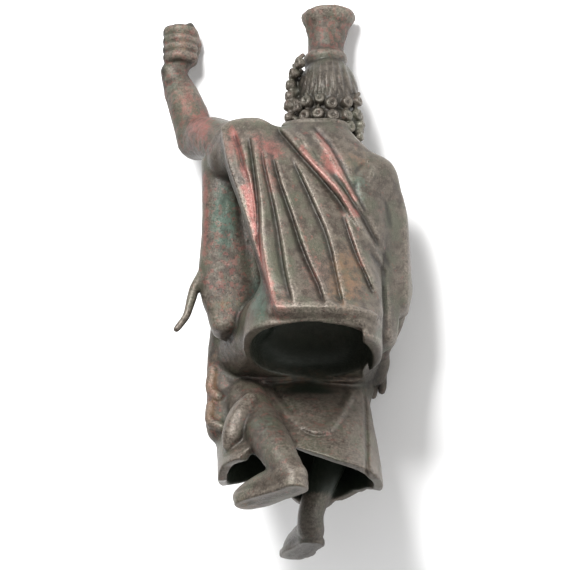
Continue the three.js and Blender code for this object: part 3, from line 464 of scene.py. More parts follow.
def in_front(folds):
    """Folds drawn from the front, fading out towards the sides."""
    def read(x, y, z, cy):
        return np.clip((y - cy - 2) / 5, 0, 1) * folds(x + 0 * y, z + 0 * y)
    return read


# The body, from the seat up

TORSO = [(-3, 2, 0, 19.5, 17, 17, 2.9),
         (0, 2, 0, 19.5, 17, 17, 2.9),
         (8, 2.4, -0.5, 19, 16, 16, 2.7),
         (20, 4.4, -0.5, 16.6, 13.6, 13, 2.4),
         (32, 4.0, -0.5, 18.5, 12, 12, 2.4),
         (44, 2.5, -0.8, 20.5, 11.2, 11.5, 2.4),
         (52, 1.5, -1, 19.5, 10, 10.5, 2.2),
         (58, 2.0, -1.2, 15, 8, 8.5, 2.2),
         (64, 3.5, -1, 8.5, 6, 7, 2.2)]

SEAT_HOLLOW = [(-6, 1.6, 4, 17, 21, 21, 2.3),
               (0, 1.6, 4, 17, 21, 21, 2.3),
               (6, 1.6, 4, 15.8, 18.5, 20, 2.3),
               (13, 2.4, 2, 13, 13, 13, 2.2),
               (22, 4.2, 0, 12, 9.5, 8.5, 2.2),
               (34, 3.6, -0.5, 13, 8, 7.5, 2.2),
               (44, 2.8, -0.8, 13, 7, 7, 2.1)]

SKIRT = [(-42, -1, 18, 23.3, 21, 23, 2.6),
         (-30, -1.6, 23, 23.1, 18.5, 19.5, 2.6),
         (-20, -2.3, 28, 22.7, 16.5, 17, 2.6),
         (-10, -3.5, 32.5, 22.5, 13.5, 14, 2.6),
         (0, -4.3, 36, 22.2, 10, 11.5, 2.8),
         (11, -4.3, 36, 22, 10, 11, 2.8)]

SKIRT_INSIDE = [(-52, -1, 15, 24, 23, 25, 2.6), *SKIRT[1:4], (-5, -4, 34, 22, 11, 11.5, 2.8)]

# Height of the hem round the skirt, by degrees from the right side towards the front.
HEM = [(-180, -33), (-164, -31), (-146, -31), (-136, -23.5), (-121, -24.5), (-108, -26.6), (-95, -28.5), (-69, -31.4),
       (-58, -33), (-41, -34.2), (-22, -35.6), (0, -35), (20, -33), (34, -30.5), (49, -29.5), (65, -31.9),
       (72, -33.3), (92, -31.9), (101, -29.2), (129, -26), (142, -28.4), (154, -30.5), (168, -31.6), (180, -33)]


class BelowHem:
    """Everything below the hem of the skirt."""
    box = (np.array([-40, -20, -60.0]), np.array([40, 60, -24.0]))

    def __call__(self, x, y, z):
        turn = np.degrees(np.arctan2(y - 20, x + 1.0))
        angles, heights = np.array(HEM, float).T
        return (z - np.interp(turn, angles, heights)) * 0.9


def lap(clay):
    """The thighs, with cloth pulled across them from the right knee to the left hip."""
    clay.add(Limb([(-8, 6, 8, 10.5), (-15, 24, 8, 9.5), (-20, 39, 7.5, 8)]), 2)
    clay.add(Limb([(11, 6, 8, 10.5), (12, 24, 8, 9.2), (12.5, 39, 8, 8)]), 2)
    clay.add(Limb([(6, 4, 9, 10), (5, 22, 8.5, 9.5), (4, 38, 7, 8.5)]), 3)
    clay.add(Limb([(-3, 4, 9, 10), (-6, 22, 8.5, 9.5), (-10, 38, 7, 8.5)]), 3)
    clay.add(Limb([(17, 40, 14.5, 1.2), (6, 34, 16.3, 1.5), (-6, 26, 16, 1.5), (-16, 16, 16.5, 1.2)]), 1.6)
    clay.add(Limb([(19, 30, 15, 1.1), (9, 25, 17, 1.5), (-3, 18, 17, 1.4)]), 1.6)
    clay.add(Limb([(9, 46, 11, 1.1), (-2, 42, 13.5, 1.4), (-13, 34, 16, 1.4), (-21, 26, 15, 1.1)]), 1.6)


def torso(clay):
    clay.add(Column(TORSO, in_front(chest_folds()), 1.2), 1.5)
    clay.add(Limb([(-21, 3, 57, 6.5), (-12, 0, 57.5, 6.8), (-2, -1, 57.5, 6.5), (3, 0, 57, 6.5)]), 3)
    clay.add(Limb([(12, 0, 52.5, 6), (18, 0, 49, 6.8)]), 2.5)


def mantle_flap(clay):
    """The left edge of the mantle, hanging clear of the body from the shoulder to the seat."""
    edge = [(-19.2, -3.6, 61.4, 4), (-18.1, -6.6, 51, 4), (-15.2, -8.2, 41, 3.8), (-11.6, -9.2, 28, 3.8),
            (-8.6, -10.8, 16.5, 3.8), (-5.8, -13, 7, 3.6)]
    clay.add(Limb(edge), 3)
    clay.add(Limb([(x + 5, y - 1, z, r) for x, y, z, r in edge]), 3)


def mantle_border(clay):
    """The thick lower border of the mantle, over the open seat."""
    clay.add(Limb([(-8.6, -16, 4.2, 1.4), (-5, -17, 3.2, 1.6), (0, -17.4, 2.6, 1.7), (6, -17.4, 2.4, 1.7),
                   (13.5, -16, 1.6, 1.7), (17.6, -12.6, 1.6, 1.7), (19, -8, 2, 1.4)]), 2)


def skirt(clay):
    inside = [(z, x, y, w - WALL, b - WALL, f - WALL, n) for z, x, y, w, b, f, n in SKIRT_INSIDE]
    clay.add(Column(SKIRT, in_front(shin_folds()), 1), 1.2)
    clay.cut(Column(inside, None, 2), 0.6)
    clay.cut(BelowHem(), 0.5)


def right_arm(clay):
    """The lowered arm, wrapped to the wrist, and the two fingers that are left."""
    clay.add(Limb([(18.2, 0, 49.2, 6.7), (21, 2.5, 38, 7), (24.3, 7, 22, 5.4), (24.4, 9, 19.5, 5.1)]), 2)
    clay.add(Limb([(24.4, 9, 19.5, 5.1), (22.8, 17, 14.5, 5), (20.9, 27, 10.5, 3.5)]), 1.5)
    clay.add(Limb([(21, 29, 9.7, 2.8), (20.7, 34, 8.2, 3.3), (20.2, 38, 6, 2.9)]), 1)
    clay.add(Limb([(21.8, 38, 6, 1.3), (22, 41, 4, 1.2), (21.8, 42.6, 2.9, 1)]), 0.4)
    clay.add(Limb([(19.4, 37.5, 6, 1.4), (19.4, 41.5, 3.4, 1.25), (19.3, 43.6, 1.9, 1.05)]), 0.4)
    clay.add(Limb([(17, 3, 44, 7), (18.5, 4, 30, 7), (18.5, 7, 17, 7), (18, 10, 8, 7)]), 2.5)


def left_arm(clay):
    """The raised arm with its closed fist."""
    clay.add(Limb([(-17, -1, 57.5, 7.6), (-22, 7, 63.3, 7.1), (-26.5, 15.5, 69.2, 6.3), (-30.6, 25.5, 73.4, 5.7)]), 2)
    clay.add(Limb([(-30.8, 25.6, 73.6, 5.6), (-34.2, 27.5, 85, 5.1), (-36.6, 29, 91.5, 4.15), (-37.5, 28.6, 95.5, 3.8)]),
             1.5)
    clay.add(Lump((-35.6, 28, 101), (4.4, 5, 5.6)), 1.2)
    for finger in range(4):
        z = 106.6 - 2.6 * finger
        clay.add(Limb([(-38.6, 30, z, 1.7), (-38.9, 25.6, z + 0.3, 1.7), (-35.5, 23.4, z + 0.2, 1.65),
                       (-32.4, 25.6, z, 1.6)]), 0.5)
    clay.add(Limb([(-33, 30.5, 100, 2), (-31.5, 27.5, 104, 1.8), (-33, 24.5, 107.6, 1.6)]), 0.6)


PANEL = [(7, -22.4, 9.5, 2.4, 3, 6, 2.4),
         (9, -22.2, 9.5, 4.4, 4, 7, 2.4),
         (14, -21.3, 9.5, 6.6, 4.6, 8, 2.4),
         (18, -21.8, 9.5, 7.5, 4.6, 8, 2.4),
         (25, -22.4, 9.5, 7.7, 4.6, 8, 2.4),
         (38, -23, 8, 6.3, 4.6, 8, 2.2),
         (50, -23.8, 6.5, 5.4, 5, 7, 2.2),
         (60, -24.5, 8, 5, 5, 6, 2)]


def hanging_panel(clay):
    """The end of the mantle that hangs from the raised arm, with the spur at its side."""
    clay.add(Column(PANEL, None, 1.5), 1)
    clay.add(Limb([(-15, 7, 54, 5), (-15, 9, 38, 4.6), (-14.5, 11, 24, 4.2), (-14, 12, 12, 5)]), 1.5)
    clay.add(Limb([(-28.8, 9, 24, 2.2), (-31.1, 9.5, 21.1, 1.5), (-32.2, 10, 17.5, 1.4), (-33.5, 10, 13, 1.1),
                   (-35.4, 10, 10, 1), (-36.3, 10, 8.8, 0.85)]), 0.8)


def waist_roll(clay):
    """The rolled upper edge of the mantle across the front, and its fall from the left shoulder."""
    clay.add(Limb([(21, 4, 24, 3), (14, 12, 19.5, 3.6), (3, 15, 18, 4), (-8, 14.5, 19.5, 4), (-16, 12, 25, 3.6)]), 1.2)
    clay.add(Limb([(20, 9, 17, 2.2), (11, 16.5, 14.5, 2.4), (0, 19, 14, 2.4), (-10, 18, 15.5, 2.2)]), 1.2)
    clay.add(Limb([(-13, 9, 56, 3.2), (-12, 12, 47, 3.4), (-13, 13, 36, 3.4), (-15, 13.5, 26, 3.6)]), 1.2)


def cascade(clay):
    """Zigzag folds down the left side of the skirt."""
    clay.add(Limb([(-21.4, 26, 15, 5.4), (-22.3, 29, 6, 5.6), (-22.6, 28, -4, 5.2), (-23.2, 26, -11, 4.9),
                   (-23.6, 24.5, -15.5, 4.3)]), 1.5)
    clay.add(Limb([(-26, 25, 2, 1.6), (-26.6, 24, -4, 1.6), (-24.5, 22, -7, 1.4)]), 0.8)
    clay.add(Limb([(-26.6, 23, -9.5, 1.6), (-26.8, 21.5, -14.5, 1.5), (-23.5, 20, -17, 1.4)]), 0.8)
    clay.add(Limb([(-15.5, 14, -11, 2), (-18, 13.5, -16, 3.6), (-20, 13, -21.5, 3.4), (-21.5, 13, -25, 1.8)]), 0.8)


def legs(clay):
    clay.add(Limb([(-20, 36, 2, 7.5), (-14, 19.5, -15, 6.6), (-8.3, 4.8, -29.5, 5.2), (-5, 0.5, -37.5, 4.6)]), 1.5)
    clay.add(Limb([(13, 38, 2, 6.5), (8, 36, -18, 5), (2.2, 37, -34, 3.8), (1.4, 39, -39, 3.7)]), 1.5)
    clay.add(Limb([(-3.2, -1.3, -39.8, 3.9), (-9, 3.8, -39.6, 4), (-15, 9.2, -40.6, 3.5), (-17.5, 11.4, -41.2, 2.9)]),
             1.2)
    clay.add(Limb([(1.6, 41, -40.2, 3.8), (0, 47, -39.6, 3.9), (-2.4, 55, -39, 3.5), (-3.8, 59, -38.8, 2.6)]), 1.2)
    clay.add(Slab((-0.3, -4, -44), (-19, 13, -44), [(3.8, 0, 3.9), (11, 0.2, 3.9), (17.5, 0.3, 4.4), (21.6, 0, 3.7)],
                  0, SOLE), 0.4)
    clay.add(Slab((2.9, 40, -44.2), (-4.8, 62, -41.2), [(3.6, 0, 3.7), (10, 0, 3.8), (15, 0.2, 4.6), (19.4, 0, 3.9)],
                  0, 2), 0.4)


# The head, turned to the figure's left

HEAD = (6.4, 3)


def on_head(side, forward, z, *radius):
    """A point from the axis of the head: to its right, forward and up."""
    return (HEAD[0] + 0.866 * side - 0.5 * forward, HEAD[1] + 0.5 * side + 0.866 * forward, z, *radius)


def face(clay):
    for side in (-3.1, 3.1):
        clay.cut(Lump(on_head(side, 11.2, 76.4), (2.2, 2.2, 1.8)), 1)
        clay.add(Lump(on_head(side, 9.0, 76.4), (1.5, 1.5, 1.2)), 0.3)
        clay.add(Lump(on_head(side * 1.2, 8, 72.6), 2.6), 1)
    clay.add(Limb([on_head(-4.8, 8.6, 78.4, 0.9), on_head(0, 10.6, 78.8, 1), on_head(4.8, 8.6, 78.4, 0.9)]), 0.8)
    clay.add(Limb([on_head(0, 10.4, 78.4, 0.9), on_head(0, 11.4, 75.2, 1), on_head(0, 12.1, 72.8, 1.3)]), 0.6)
    clay.add(Limb([on_head(-1.8, 10.2, 68.9, 0.7), on_head(0, 10.9, 68.8, 0.9), on_head(1.8, 10.2, 68.9, 0.7)]), 0.5)
    for side in (-1, 1):
        moustache = [on_head(0.3 * side, 11, 71, 1), on_head(2.6 * side, 10.2, 70, 1.1),
                     on_head(4.4 * side, 8.4, 67.5, 1)]
        clay.add(Limb(moustache), 0.5)


def curl(clay, centre, size, outward):
    """A snail curl: a bead of hair with a ring and a pit on its face."""
    outward = np.array(outward, float) / np.linalg.norm(outward)
    face_point = np.array(centre, float) + outward * size * 0.6
    clay.add(Lump(centre, size * 0.92), 0.5)
    clay.add(Ring(face_point, outward, size * 0.6, size * 0.3), 0.2)
    clay.cut(Lump(face_point + outward * size * 0.3, size * 0.36), 0.2)


def beard(clay):
    clay.add(Lump(on_head(0, 6.8, 66.5), (5.8, 5.8, 5.6)), 1.2)
    rows = ((1.9, 9.8, 61.6, 2.3), (4.6, 7.4, 64.4, 2.3), (6.2, 5, 68.2, 2.2), (6.8, 3.4, 72, 2.1), (2.4, 10.4, 65.8, 1.9))
    for side, forward, z, size in rows:
        for turn in (-1, 1):
            outward = np.array(on_head(side * turn, forward, 0)) - np.array(on_head(0, 0, 0))
            curl(clay, on_head(side * turn, forward, z), size, outward)


def hair(clay):
    """Locks over the brow, curls at the temples and two rows of snail curls round the nape."""
    clay.add(Lump((6, 2.4, 67.8), (9.2, 8.2, 5.4)), 1)
    for lock in range(5):
        side = 2.1 * (lock - 2)
        back = abs(lock - 2)
        clay.add(Limb([on_head(side, 7.6, 85, 1.2), on_head(side, 9.6 - 0.25 * back, 82.6, 1.1),
                       on_head(side, 9.9 - 0.3 * back, 80.4, 0.8)]), 0.4)
    for side, forward, z in ((6.6, 5.6, 84.5), (7.8, 4.4, 81), (8.3, 3.4, 77.2), (8.2, 2.4, 73.4)):
        for turn in (-1, 1):
            outward = np.array(on_head(side * turn, forward, 0)) - np.array(on_head(0, 0, 0))
            curl(clay, on_head(side * turn, forward, z), 2.2, outward)
    for x, v, size in NAPE_CURLS:
        nape_curl(clay, x, v, size)
    for place in range(5):
        angle = math.radians(30 * place - 10)
        for row in range(2):
            centre = (6.4 + 8.4 * math.cos(angle), 2.4 + 8 * math.sin(angle), 69.5 - 4 * row)
            curl(clay, centre, 1.9, (math.cos(angle), math.sin(angle), 0))
            centre = (6.4 - 8.4 * math.cos(angle), 2.4 + 8 * math.sin(angle), 68.5 - 4 * row)
            curl(clay, centre, 1.9, (-math.cos(angle), math.sin(angle), 0))


# The snail curls at the nape, by their places in the photograph's plane, with their sizes.
NAPE_CURLS = [(0.6, 68.4, 1.9), (4.2, 69.2, 1.6), (7.3, 68, 1.9), (11.4, 68.3, 1.8), (14.4, 68.6, 1.7),
              (0.4, 64.4, 1.9), (3.8, 64.8, 1.9), (7.6, 64.2, 2), (11.4, 64.4, 1.8), (14.2, 65, 1.7), (15.2, 62, 1.7),
              (-1.8, 66.6, 1.6), (-4.4, 64.2, 1.6), (-4.5, 67.4, 1.7), (-4.2, 70.4, 1.6), (-4, 73.4, 1.7),
              (-2.9, 76.8, 1.7), (-1.4, 79.6, 1.6), (12.2, 61.2, 1.7), (15, 58.6, 1.5), (9.2, 61.6, 1.5)]
NAPE = (6, 2.6)             # the middle of the head at the nape
NAPE_WIDTH = 9.6
NAPE_DEPTH = 8.2


def nape_curl(clay, x, v, size):
    """A curl on the back of the head, with a short lock running up from it."""
    across = np.clip((x - NAPE[0]) / NAPE_WIDTH, -0.97, 0.97)
    y = NAPE[1] - NAPE_DEPTH * math.sqrt(1 - across ** 2)
    z = (v + LOOK_Y * y) / LOOK_Z
    outward = (across * 1.1, -math.sqrt(1 - across ** 2), 0.2 * math.sin(5 * x + v))
    curl(clay, (x, y, z), size, outward)
    lean = 0.8 * math.sin(3 * x + 2 * v)
    clay.add(Limb([(x + lean, y - 0.3, z + 1.2, 0.75), (x - lean, y + 0.2, z + 2.6, 0.6)]), 0.3)


def head(clay):
    clay.add(Limb([(4.5, -0.5, 58, 5.8), (5.6, 1.5, 68, 5.6)]), 1.5)
    clay.add(Lump((6.4, 2.6, 77.5), (8.6, 9.6, 10.8)), 1)
    clay.add(Lump(on_head(0, 3.6, 75.5), (7.2, 7.2, 10)), 1.5)
    face(clay)
    beard(clay)
    hair(clay)
    strands(clay)


def strands(clay):
    """Fine strands combed down over the crown."""
    f = Folds((-8, 62), (20, 84), 0.15)
    for strand in range(15):
        top = 0.9 + 0.78 * strand
        low = -2 + 1.25 * strand
        waver = 0.35 * math.sin(3 * strand)
        f.groove([(top, 81), (0.5 * (top + low) + waver, 75), (low - waver, 69.5)], 0.55, 0.55, 0.6)
    clay.carve(f, (-7, -14, 66), (19, 6, 94))


KALATHOS = [(84, 5.0), (86.6, 5.9), (88.2, 6.3), (89.2, 6.0), (90, 5.2), (92.5, 5.1), (95.5, 5.5), (98, 6.2), (99.6, 7),
            (100.8, 7.6), (102, 7.6), (102.8, 6.9)]


def kalathos(clay):
    """The tall flared headdress, with a collar at its foot and a dished top."""
    clay.add(Lathe(5.4, 3, KALATHOS, 0.065), 0.3)
    clay.cut(Lump((6.6, 3, 103.5), (5.8, 5.8, 2.4)), 0.4)


def sculpt(step):
    clay = Clay((-45, -28, -49), (35, 72, 112), step)
    lap(clay)
    torso(clay)
    mantle_flap(clay)
    right_arm(clay)
    clay.cut(Block((-45, -40, -60), (16, 24.5, 0)), 0.3)
    mantle_border(clay)
    clay.carve(mantle_folds(), (-27, -28, 1), (31, 12, 68))
    clay.cut(Column(SEAT_HOLLOW, None, 3), 0.6)
    left_arm(clay)
    hanging_panel(clay)
    waist_roll(clay)
    skirt(clay)
    legs(clay)
    clay.carve(skirt_folds(), (-24, -4, -40), (24, 31, -1))
    cascade(clay)
    head(clay)
    kalathos(clay)
    return clay


# From clay to a mesh

def skin(clay):
    """The surface of the clay as a Blender mesh, in the figure's frame and in millimetres."""
    grid = openvdb.FloatGrid(FAR)
    grid.copyFromArray(np.clip(clay.value, -FAR, FAR))
    points, triangles, quads = grid.convertToPolygons(isovalue=0.0, adaptivity=0.0)
    points = points * clay.step + clay.low
    mesh = bpy.data.meshes.new("clay")
    mesh.vertices.add(len(points))
    mesh.vertices.foreach_set("co", points.astype(np.float32).ravel())
    corners = np.concatenate([quads.ravel(), triangles.ravel()]).astype(np.int32)
    starts = np.concatenate([np.arange(len(quads)) * 4, 4 * len(quads) + np.arange(len(triangles)) * 3])
    mesh.loops.add(len(corners))
    mesh.loops.foreach_set("vertex_index", corners)
    mesh.polygons.add(len(starts))
    mesh.polygons.foreach_set("loop_start", starts.astype(np.int32))
    mesh.update(calc_edges=True)
    mesh.validate()
    return mesh


def one_body(mesh):
    """Takes away loose crumbs, so that only the largest body is left."""
    shape = bmesh.new()
    shape.from_mesh(mesh)
    left = set(shape.verts)
    bodies = []
    while left:
        body = {left.pop()}
        edge = list(body)
        while edge:
            point = edge.pop()
            near = {link.other_vert(point) for link in point.link_edges} & left
            left -= near
            body |= near
            edge.extend(near)
        bodies.append(body)
    keep = max(bodies, key=len)
    bmesh.ops.delete(shape, geom=[point for body in bodies if body is not keep for point in body], context="VERTS")
    shape.to_mesh(mesh)
    shape.free()
    return mesh


def thinned(mesh, triangles):
    """The same surface with fewer triangles, fewest where it is flat."""
    holder = bpy.data.objects.new("holder", mesh)
    bpy.context.scene.collection.objects.link(holder)
    thin = holder.modifiers.new("thin", "DECIMATE")
    thin.ratio = min(1, triangles / (2 * len(mesh.polygons)))
    graph = bpy.context.evaluated_depsgraph_get()
    result = bpy.data.meshes.new_from_object(holder.evaluated_get(graph))
    bpy.data.objects.remove(holder)
    return result


def lying(points):
    """Turns points of the figure's frame into the way it lies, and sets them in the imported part's own box."""
    turn = Matrix.Rotation(LIE_ROLL, 3, "Y") @ Matrix.Rotation(-LIE_PITCH, 3, "X")
    points = points @ np.array(turn).T * MM
    low, high = np.array(CAD_BOX)
    middle = (low + high) / 2 - (points.min(0) + points.max(0)) / 2
    middle[2] = low[2] - points[:, 2].min()
    return points + middle, turn, middle


# Wear, corrosion, colour, painted highlight and painted shade, as masks over the surface

SEED = 7
NOISE_CELLS = 40


def lattice_noise(points, size, seed):
    """Smooth noise from -1 to 1 with bumps of about the given size."""
    table = np.random.default_rng(SEED + seed).uniform(-1, 1, (NOISE_CELLS,) * 3)
    q = points / size + 1000
    cell = np.floor(q).astype(int)
    t = q - cell
    t = t * t * (3 - 2 * t)
    total = 0
    for corner in np.ndindex(2, 2, 2):
        share = np.prod(np.where(corner, t, 1 - t), axis=1)
        i, j, k = ((cell + corner) % NOISE_CELLS).T
        total = total + share * table[i, j, k]
    return total


def blurred(value, cells):
    """A box blur along the three axes, done twice."""
    for _ in range(2):
        for axis in range(3):
            total = np.cumsum(value, axis=axis, dtype=np.float32)
            ahead = np.roll(total, -cells, axis)
            behind = np.roll(total, cells + 1, axis)
            value = (ahead - behind) / (2 * cells + 1)
    return value


def crests(clay, points, radius):
    """How far the surface stands proud of its surroundings, in millimetres: above 0 on ridges, below in creases."""
    cells = max(1, round(radius / clay.step))
    soft = Clay(clay.low, clay.low, clay.step)
    soft.value = blurred(np.clip(clay.value, -FAR, FAR), cells)
    return soft.read(points)


def stroke(u, v, rows, width):
    distance, _, _ = path_distance(u, v, rows)
    return np.exp(-(distance / width) ** 2)


def spot(u, v, centre_u, centre_v, half_u, half_v):
    return np.exp(-(((u - centre_u) / half_u) ** 2 + ((v - centre_v) / half_v) ** 2) ** 1.5)


def most(*masks):
    return np.clip(np.maximum.reduce(masks), 0, 1)


def paint_masks(points, normals):
    """Where the corrosion is red, green or rusty, where the metal is darker in tone and where painted shadow falls, and
    where the surface is rough.
    """
    x, y, z = points.T
    v = LOOK_Z * z - LOOK_Y * y
    seen = ramp(0.6 - (LOOK_Z * normals[:, 1] + LOOK_Y * normals[:, 2]) * 1.5)
    red = most(stroke(x, v, EDGE_PLEAT, 1.6) * 0.9,
               stroke(x, v, [(-17, 44), (-14, 32), (-11.5, 22), (-9, 12)], 1.5),
               stroke(x, v, [(-13.5, 58), (-11, 50), (-9.5, 44)], 2) * 0.7,
               stroke(x, v, [(-1, 55), (4, 49), (9.5, 43), (14, 36.5)], 1.2),
               stroke(x, v, [(3.6, 59.3), (7, 54), (10, 48), (14, 41)], 1.1) * 0.9,
               stroke(x, v, [(9, 40), (13, 30), (16, 22)], 0.9) * 0.5,
               stroke(x, v, [(-28.6, 48), (-28, 36), (-28.6, 26)], 1.0) * 0.8,
               stroke(x, v, [(-1.5, 34), (1, 26), (3.5, 17)], 0.8) * 0.5,
               spot(x, v, 7, 51.5, 3.5, 4.5) * 0.8, spot(x, v, -10, 55, 5, 4) * 0.7,
               spot(x, v, -30, 62, 4, 6) * 0.8, spot(x, v, -7, 11, 4, 4) * 0.6, spot(x, v, -34, 70, 3, 5) * 0.6,
               spot(x, v, 3, 20, 4, 8) * 0.45, spot(x, v, -21, 56, 3, 5) * 0.6, spot(x, v, -12, -12, 4, 6) * 0.35)
    green = most(spot(x, v, -23, 36, 4.5, 12), spot(x, v, -13, 13, 3.5, 10) * 0.9,
                 spot(x, v, 15, 44, 3.5, 5) * 0.7, spot(x, v, -38, 74, 3, 8) * 0.5, spot(x, v, -37, 87, 3, 4) * 0.5,
                 spot(x, v, -12, -22, 4, 6) * 0.5, spot(x, v, 10, -8, 8, 6) * 0.3, spot(x, v, 6, 88, 4, 4) * 0.4,
                 spot(x, v, -9, 40, 3, 12) * 0.35)
    rust = most(spot(x, v, 11, 19, 7, 11) * 0.8, spot(x, v, -27, -14, 3.5, 13) * 0.9, spot(x, v, -36, 86, 4, 6) * 0.6,
                spot(x, v, -17, -46, 4, 4) * 0.8, spot(x, v, 4, -10, 16, 3) * 0.7, spot(x, v, -22, 12, 6, 6) * 0.5,
                spot(x, v, 14, 52, 4, 4) * 0.5)
    # Darker patches: painted shadow under the raised arm, on the right arm, hand and foot and in the skirt's folds, and
    # a darker tone of the metal on the head
    dark_tone_and_shadow = most(spot(x, v, 20, -9, 5, 7), spot(x, v, 2, -54, 9, 12) * 0.9, spot(x, v, 5, 72, 15, 13) * 0.75, spot(x, v, 10, -24, 14, 18) * 0.45,
                spot(x, v, -23, 48, 7, 5) * 0.7, spot(x, v, 22, 34, 8, 22) * 0.4, spot(x, v, -10, -26, 8, 10) * 0.3)
    arm = ramp((-24 - x) / 4) * ramp((v - 52) / 3)
    crown = ramp((v - 80) / 3) * ramp((x + 4) / 3)
    panel = spot(x, v, -21.5, 24, 9, 24) * ramp((y + 3) / 3)
    rough = most(arm, crown, panel, spot(x, v, -27, -14, 5, 14), spot(x, v, -2, -22, 20, 16) * 0.6,
                 spot(x, v, 0, 84, 60, 3) * 0.2)
    return {"red": red * seen, "green": green * seen, "rust": rust * seen, "dark_tone_and_shadow": dark_tone_and_shadow * seen, "rough": rough}


def hollow_mask(points):
    """Painted shade over the inside of the seat and of the skirt."""
    x, y, z = points.T
    seat = Column([(h, cx, cy, w + 0.5, b + 0.5, f + 0.5, n) for h, cx, cy, w, b, f, n in SEAT_HOLLOW], None, 3)
    cloth = [(h, cx, cy, w - 1.6, b - 1.6, f - 1.6, n) for h, cx, cy, w, b, f, n in SKIRT_INSIDE]
    seat_depth = -seat(x, y, z)
    cloth_depth = -Column(cloth, None, 2)(x, y, z) * ramp((-24 - z) / -2 + 4)
    return ramp(seat_depth / 1.5 + 0.4), ramp(cloth_depth / 1.2) * ramp((z + 46) / 2) * ramp((2 - z) / 2)


def roughen(points, normals, masks):
    """Small waves and pits of the corroded surface."""
    wave = 0.07 * lattice_noise(points, 3.1, 1) + 0.045 * lattice_noise(points, 1.5, 2)
    pits = np.maximum(lattice_noise(points, 1.9, 3) - 0.35, 0) * 0.9
    crust = 0.16 * lattice_noise(points, 2.2, 4) + 0.1 * lattice_noise(points, 1.2, 5)
    height = wave + masks["rough"] * crust - pits * (0.12 + 0.35 * masks["rough"])
    return points + normals * height[:, None]


def mark(mesh, name, values):
    layer = mesh.attributes.new(name, "FLOAT", "POINT")
    layer.data.foreach_set("value", np.clip(values, 0, 1).astype(np.float32))


def statuette():
    clay = sculpt(GRID)
    mesh = one_body(thinned(skin(clay), TRIANGLES))
    count = len(mesh.vertices)
    points = np.empty(count * 3, np.float32)
    normals = np.empty(count * 3, np.float32)
    mesh.vertices.foreach_get("co", points)
    mesh.vertices.foreach_get("normal", normals)
    points = points.reshape(-1, 3).astype(float)
    normals = normals.reshape(-1, 3)
    masks = paint_masks(points, normals)
    fine = crests(clay, points, 0.7)
    broad = crests(clay, points, 2.2)
    seat, cloth = hollow_mask(points)
    # Ridges standing proud: paler with wear, plus a painted highlight along them
    mark(mesh, "crest", fine / 0.12 * 0.6 + broad / 0.5 * 0.4)
    # Painted shade in creases and grooves, deeper where the surface sinks below its surroundings
    mark(mesh, "crease_shade", -fine / 0.14 * 0.5 - broad / 0.5 * 0.8)
    # Painted shade inside the hollow seat and skirt
    mark(mesh, "inner_shade", np.maximum(seat, cloth))
    for name, values in masks.items():
        mark(mesh, name, values)
    points = roughen(points, normals, masks)
    placed, turn, shift = lying(points)
    mesh.vertices.foreach_set("co", placed.astype(np.float32).ravel())
    mesh.polygons.foreach_set("use_smooth", np.ones(len(mesh.polygons), bool))
    mesh.update()
    piece = bpy.data.objects.new("bronze_statuette", mesh)
    bpy.context.scene.collection.objects.link(piece)
    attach(piece, "root")
    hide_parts("statuette")
    return piece, turn, shift


# The finish

BROWN = (0.042, 0.032, 0.024)
GREY = (0.085, 0.070, 0.054)
OLIVE = (0.062, 0.062, 0.042)
PALE = (0.215, 0.183, 0.150)
# Near black: real black grains and pits, and painted shade in creases and in shadowed patches
SOOT_AND_SHADE = (0.012, 0.011, 0.009)
CUPRITE = (0.20, 0.052, 0.044)
PINK = (0.30, 0.16, 0.135)
VERDIGRIS = (0.04, 0.085, 0.066)
RUST = (0.155, 0.078, 0.036)
# Near black painted shade for the hollow inside of the seat and skirt
INNER_SHADE = (0.012, 0.018, 0.012)


class Paint:
    """Builds a material from short steps. Sockets or numbers go in, and a socket comes out."""

    def __init__(self, name):
        self.material = bpy.data.materials.new(name)
        self.material.use_nodes = True
        self.tree = self.material.node_tree
        self.shader = self.tree.nodes["Principled BSDF"]
        place = self.tree.nodes.new("ShaderNodeTexCoord").outputs["Object"]
        grow = self.tree.nodes.new("ShaderNodeVectorMath")
        grow.operation = "SCALE"
        grow.inputs["Scale"].default_value = 1 / MM
        self.tree.links.new(place, grow.inputs[0])
        self.millimetres = grow.outputs[0]

    def put(self, value, socket):
        if isinstance(value, bpy.types.NodeSocket):
            self.tree.links.new(value, socket)
        elif isinstance(value, tuple):
            socket.default_value = (*value, 1)
        else:
            socket.default_value = value

    def math(self, kind, a, b=0.0, c=0.0):
        node = self.tree.nodes.new("ShaderNodeMath")
        node.operation = kind
        for value, socket in zip((a, b, c), node.inputs):
            self.put(value, socket)
        return node.outputs[0]

    def mask(self, name):
        node = self.tree.nodes.new("ShaderNodeAttribute")
        node.attribute_name = name
        return node.outputs["Fac"]

    def noise(self, scale, detail=3.0, rough=0.55):
        node = self.tree.nodes.new("ShaderNodeTexNoise")
        self.put(self.millimetres, node.inputs["Vector"])
        node.inputs["Scale"].default_value = scale
        node.inputs["Detail"].default_value = detail
        node.inputs["Roughness"].default_value = rough
        return node.outputs["Fac"]

    def span(self, value, low, high):
        """0 where the value is at or below low, 1 at or above high."""
        node = self.tree.nodes.new("ShaderNodeMapRange")
        node.interpolation_type = "SMOOTHSTEP"
        for socket, number in (("From Min", low), ("From Max", high), ("To Min", 0.0), ("To Max", 1.0)):
            node.inputs[socket].default_value = number
        self.put(value, node.inputs["Value"])
        return node.outputs["Result"]

    def mix(self, share, a, b, kind="MIX"):
        node = self.tree.nodes.new("ShaderNodeMix")
        node.data_type = "RGBA"
        node.blend_type = kind
        self.put(share, node.inputs[0])
        self.put(a, node.inputs[6])
        self.put(b, node.inputs[7])
        return node.outputs[2]


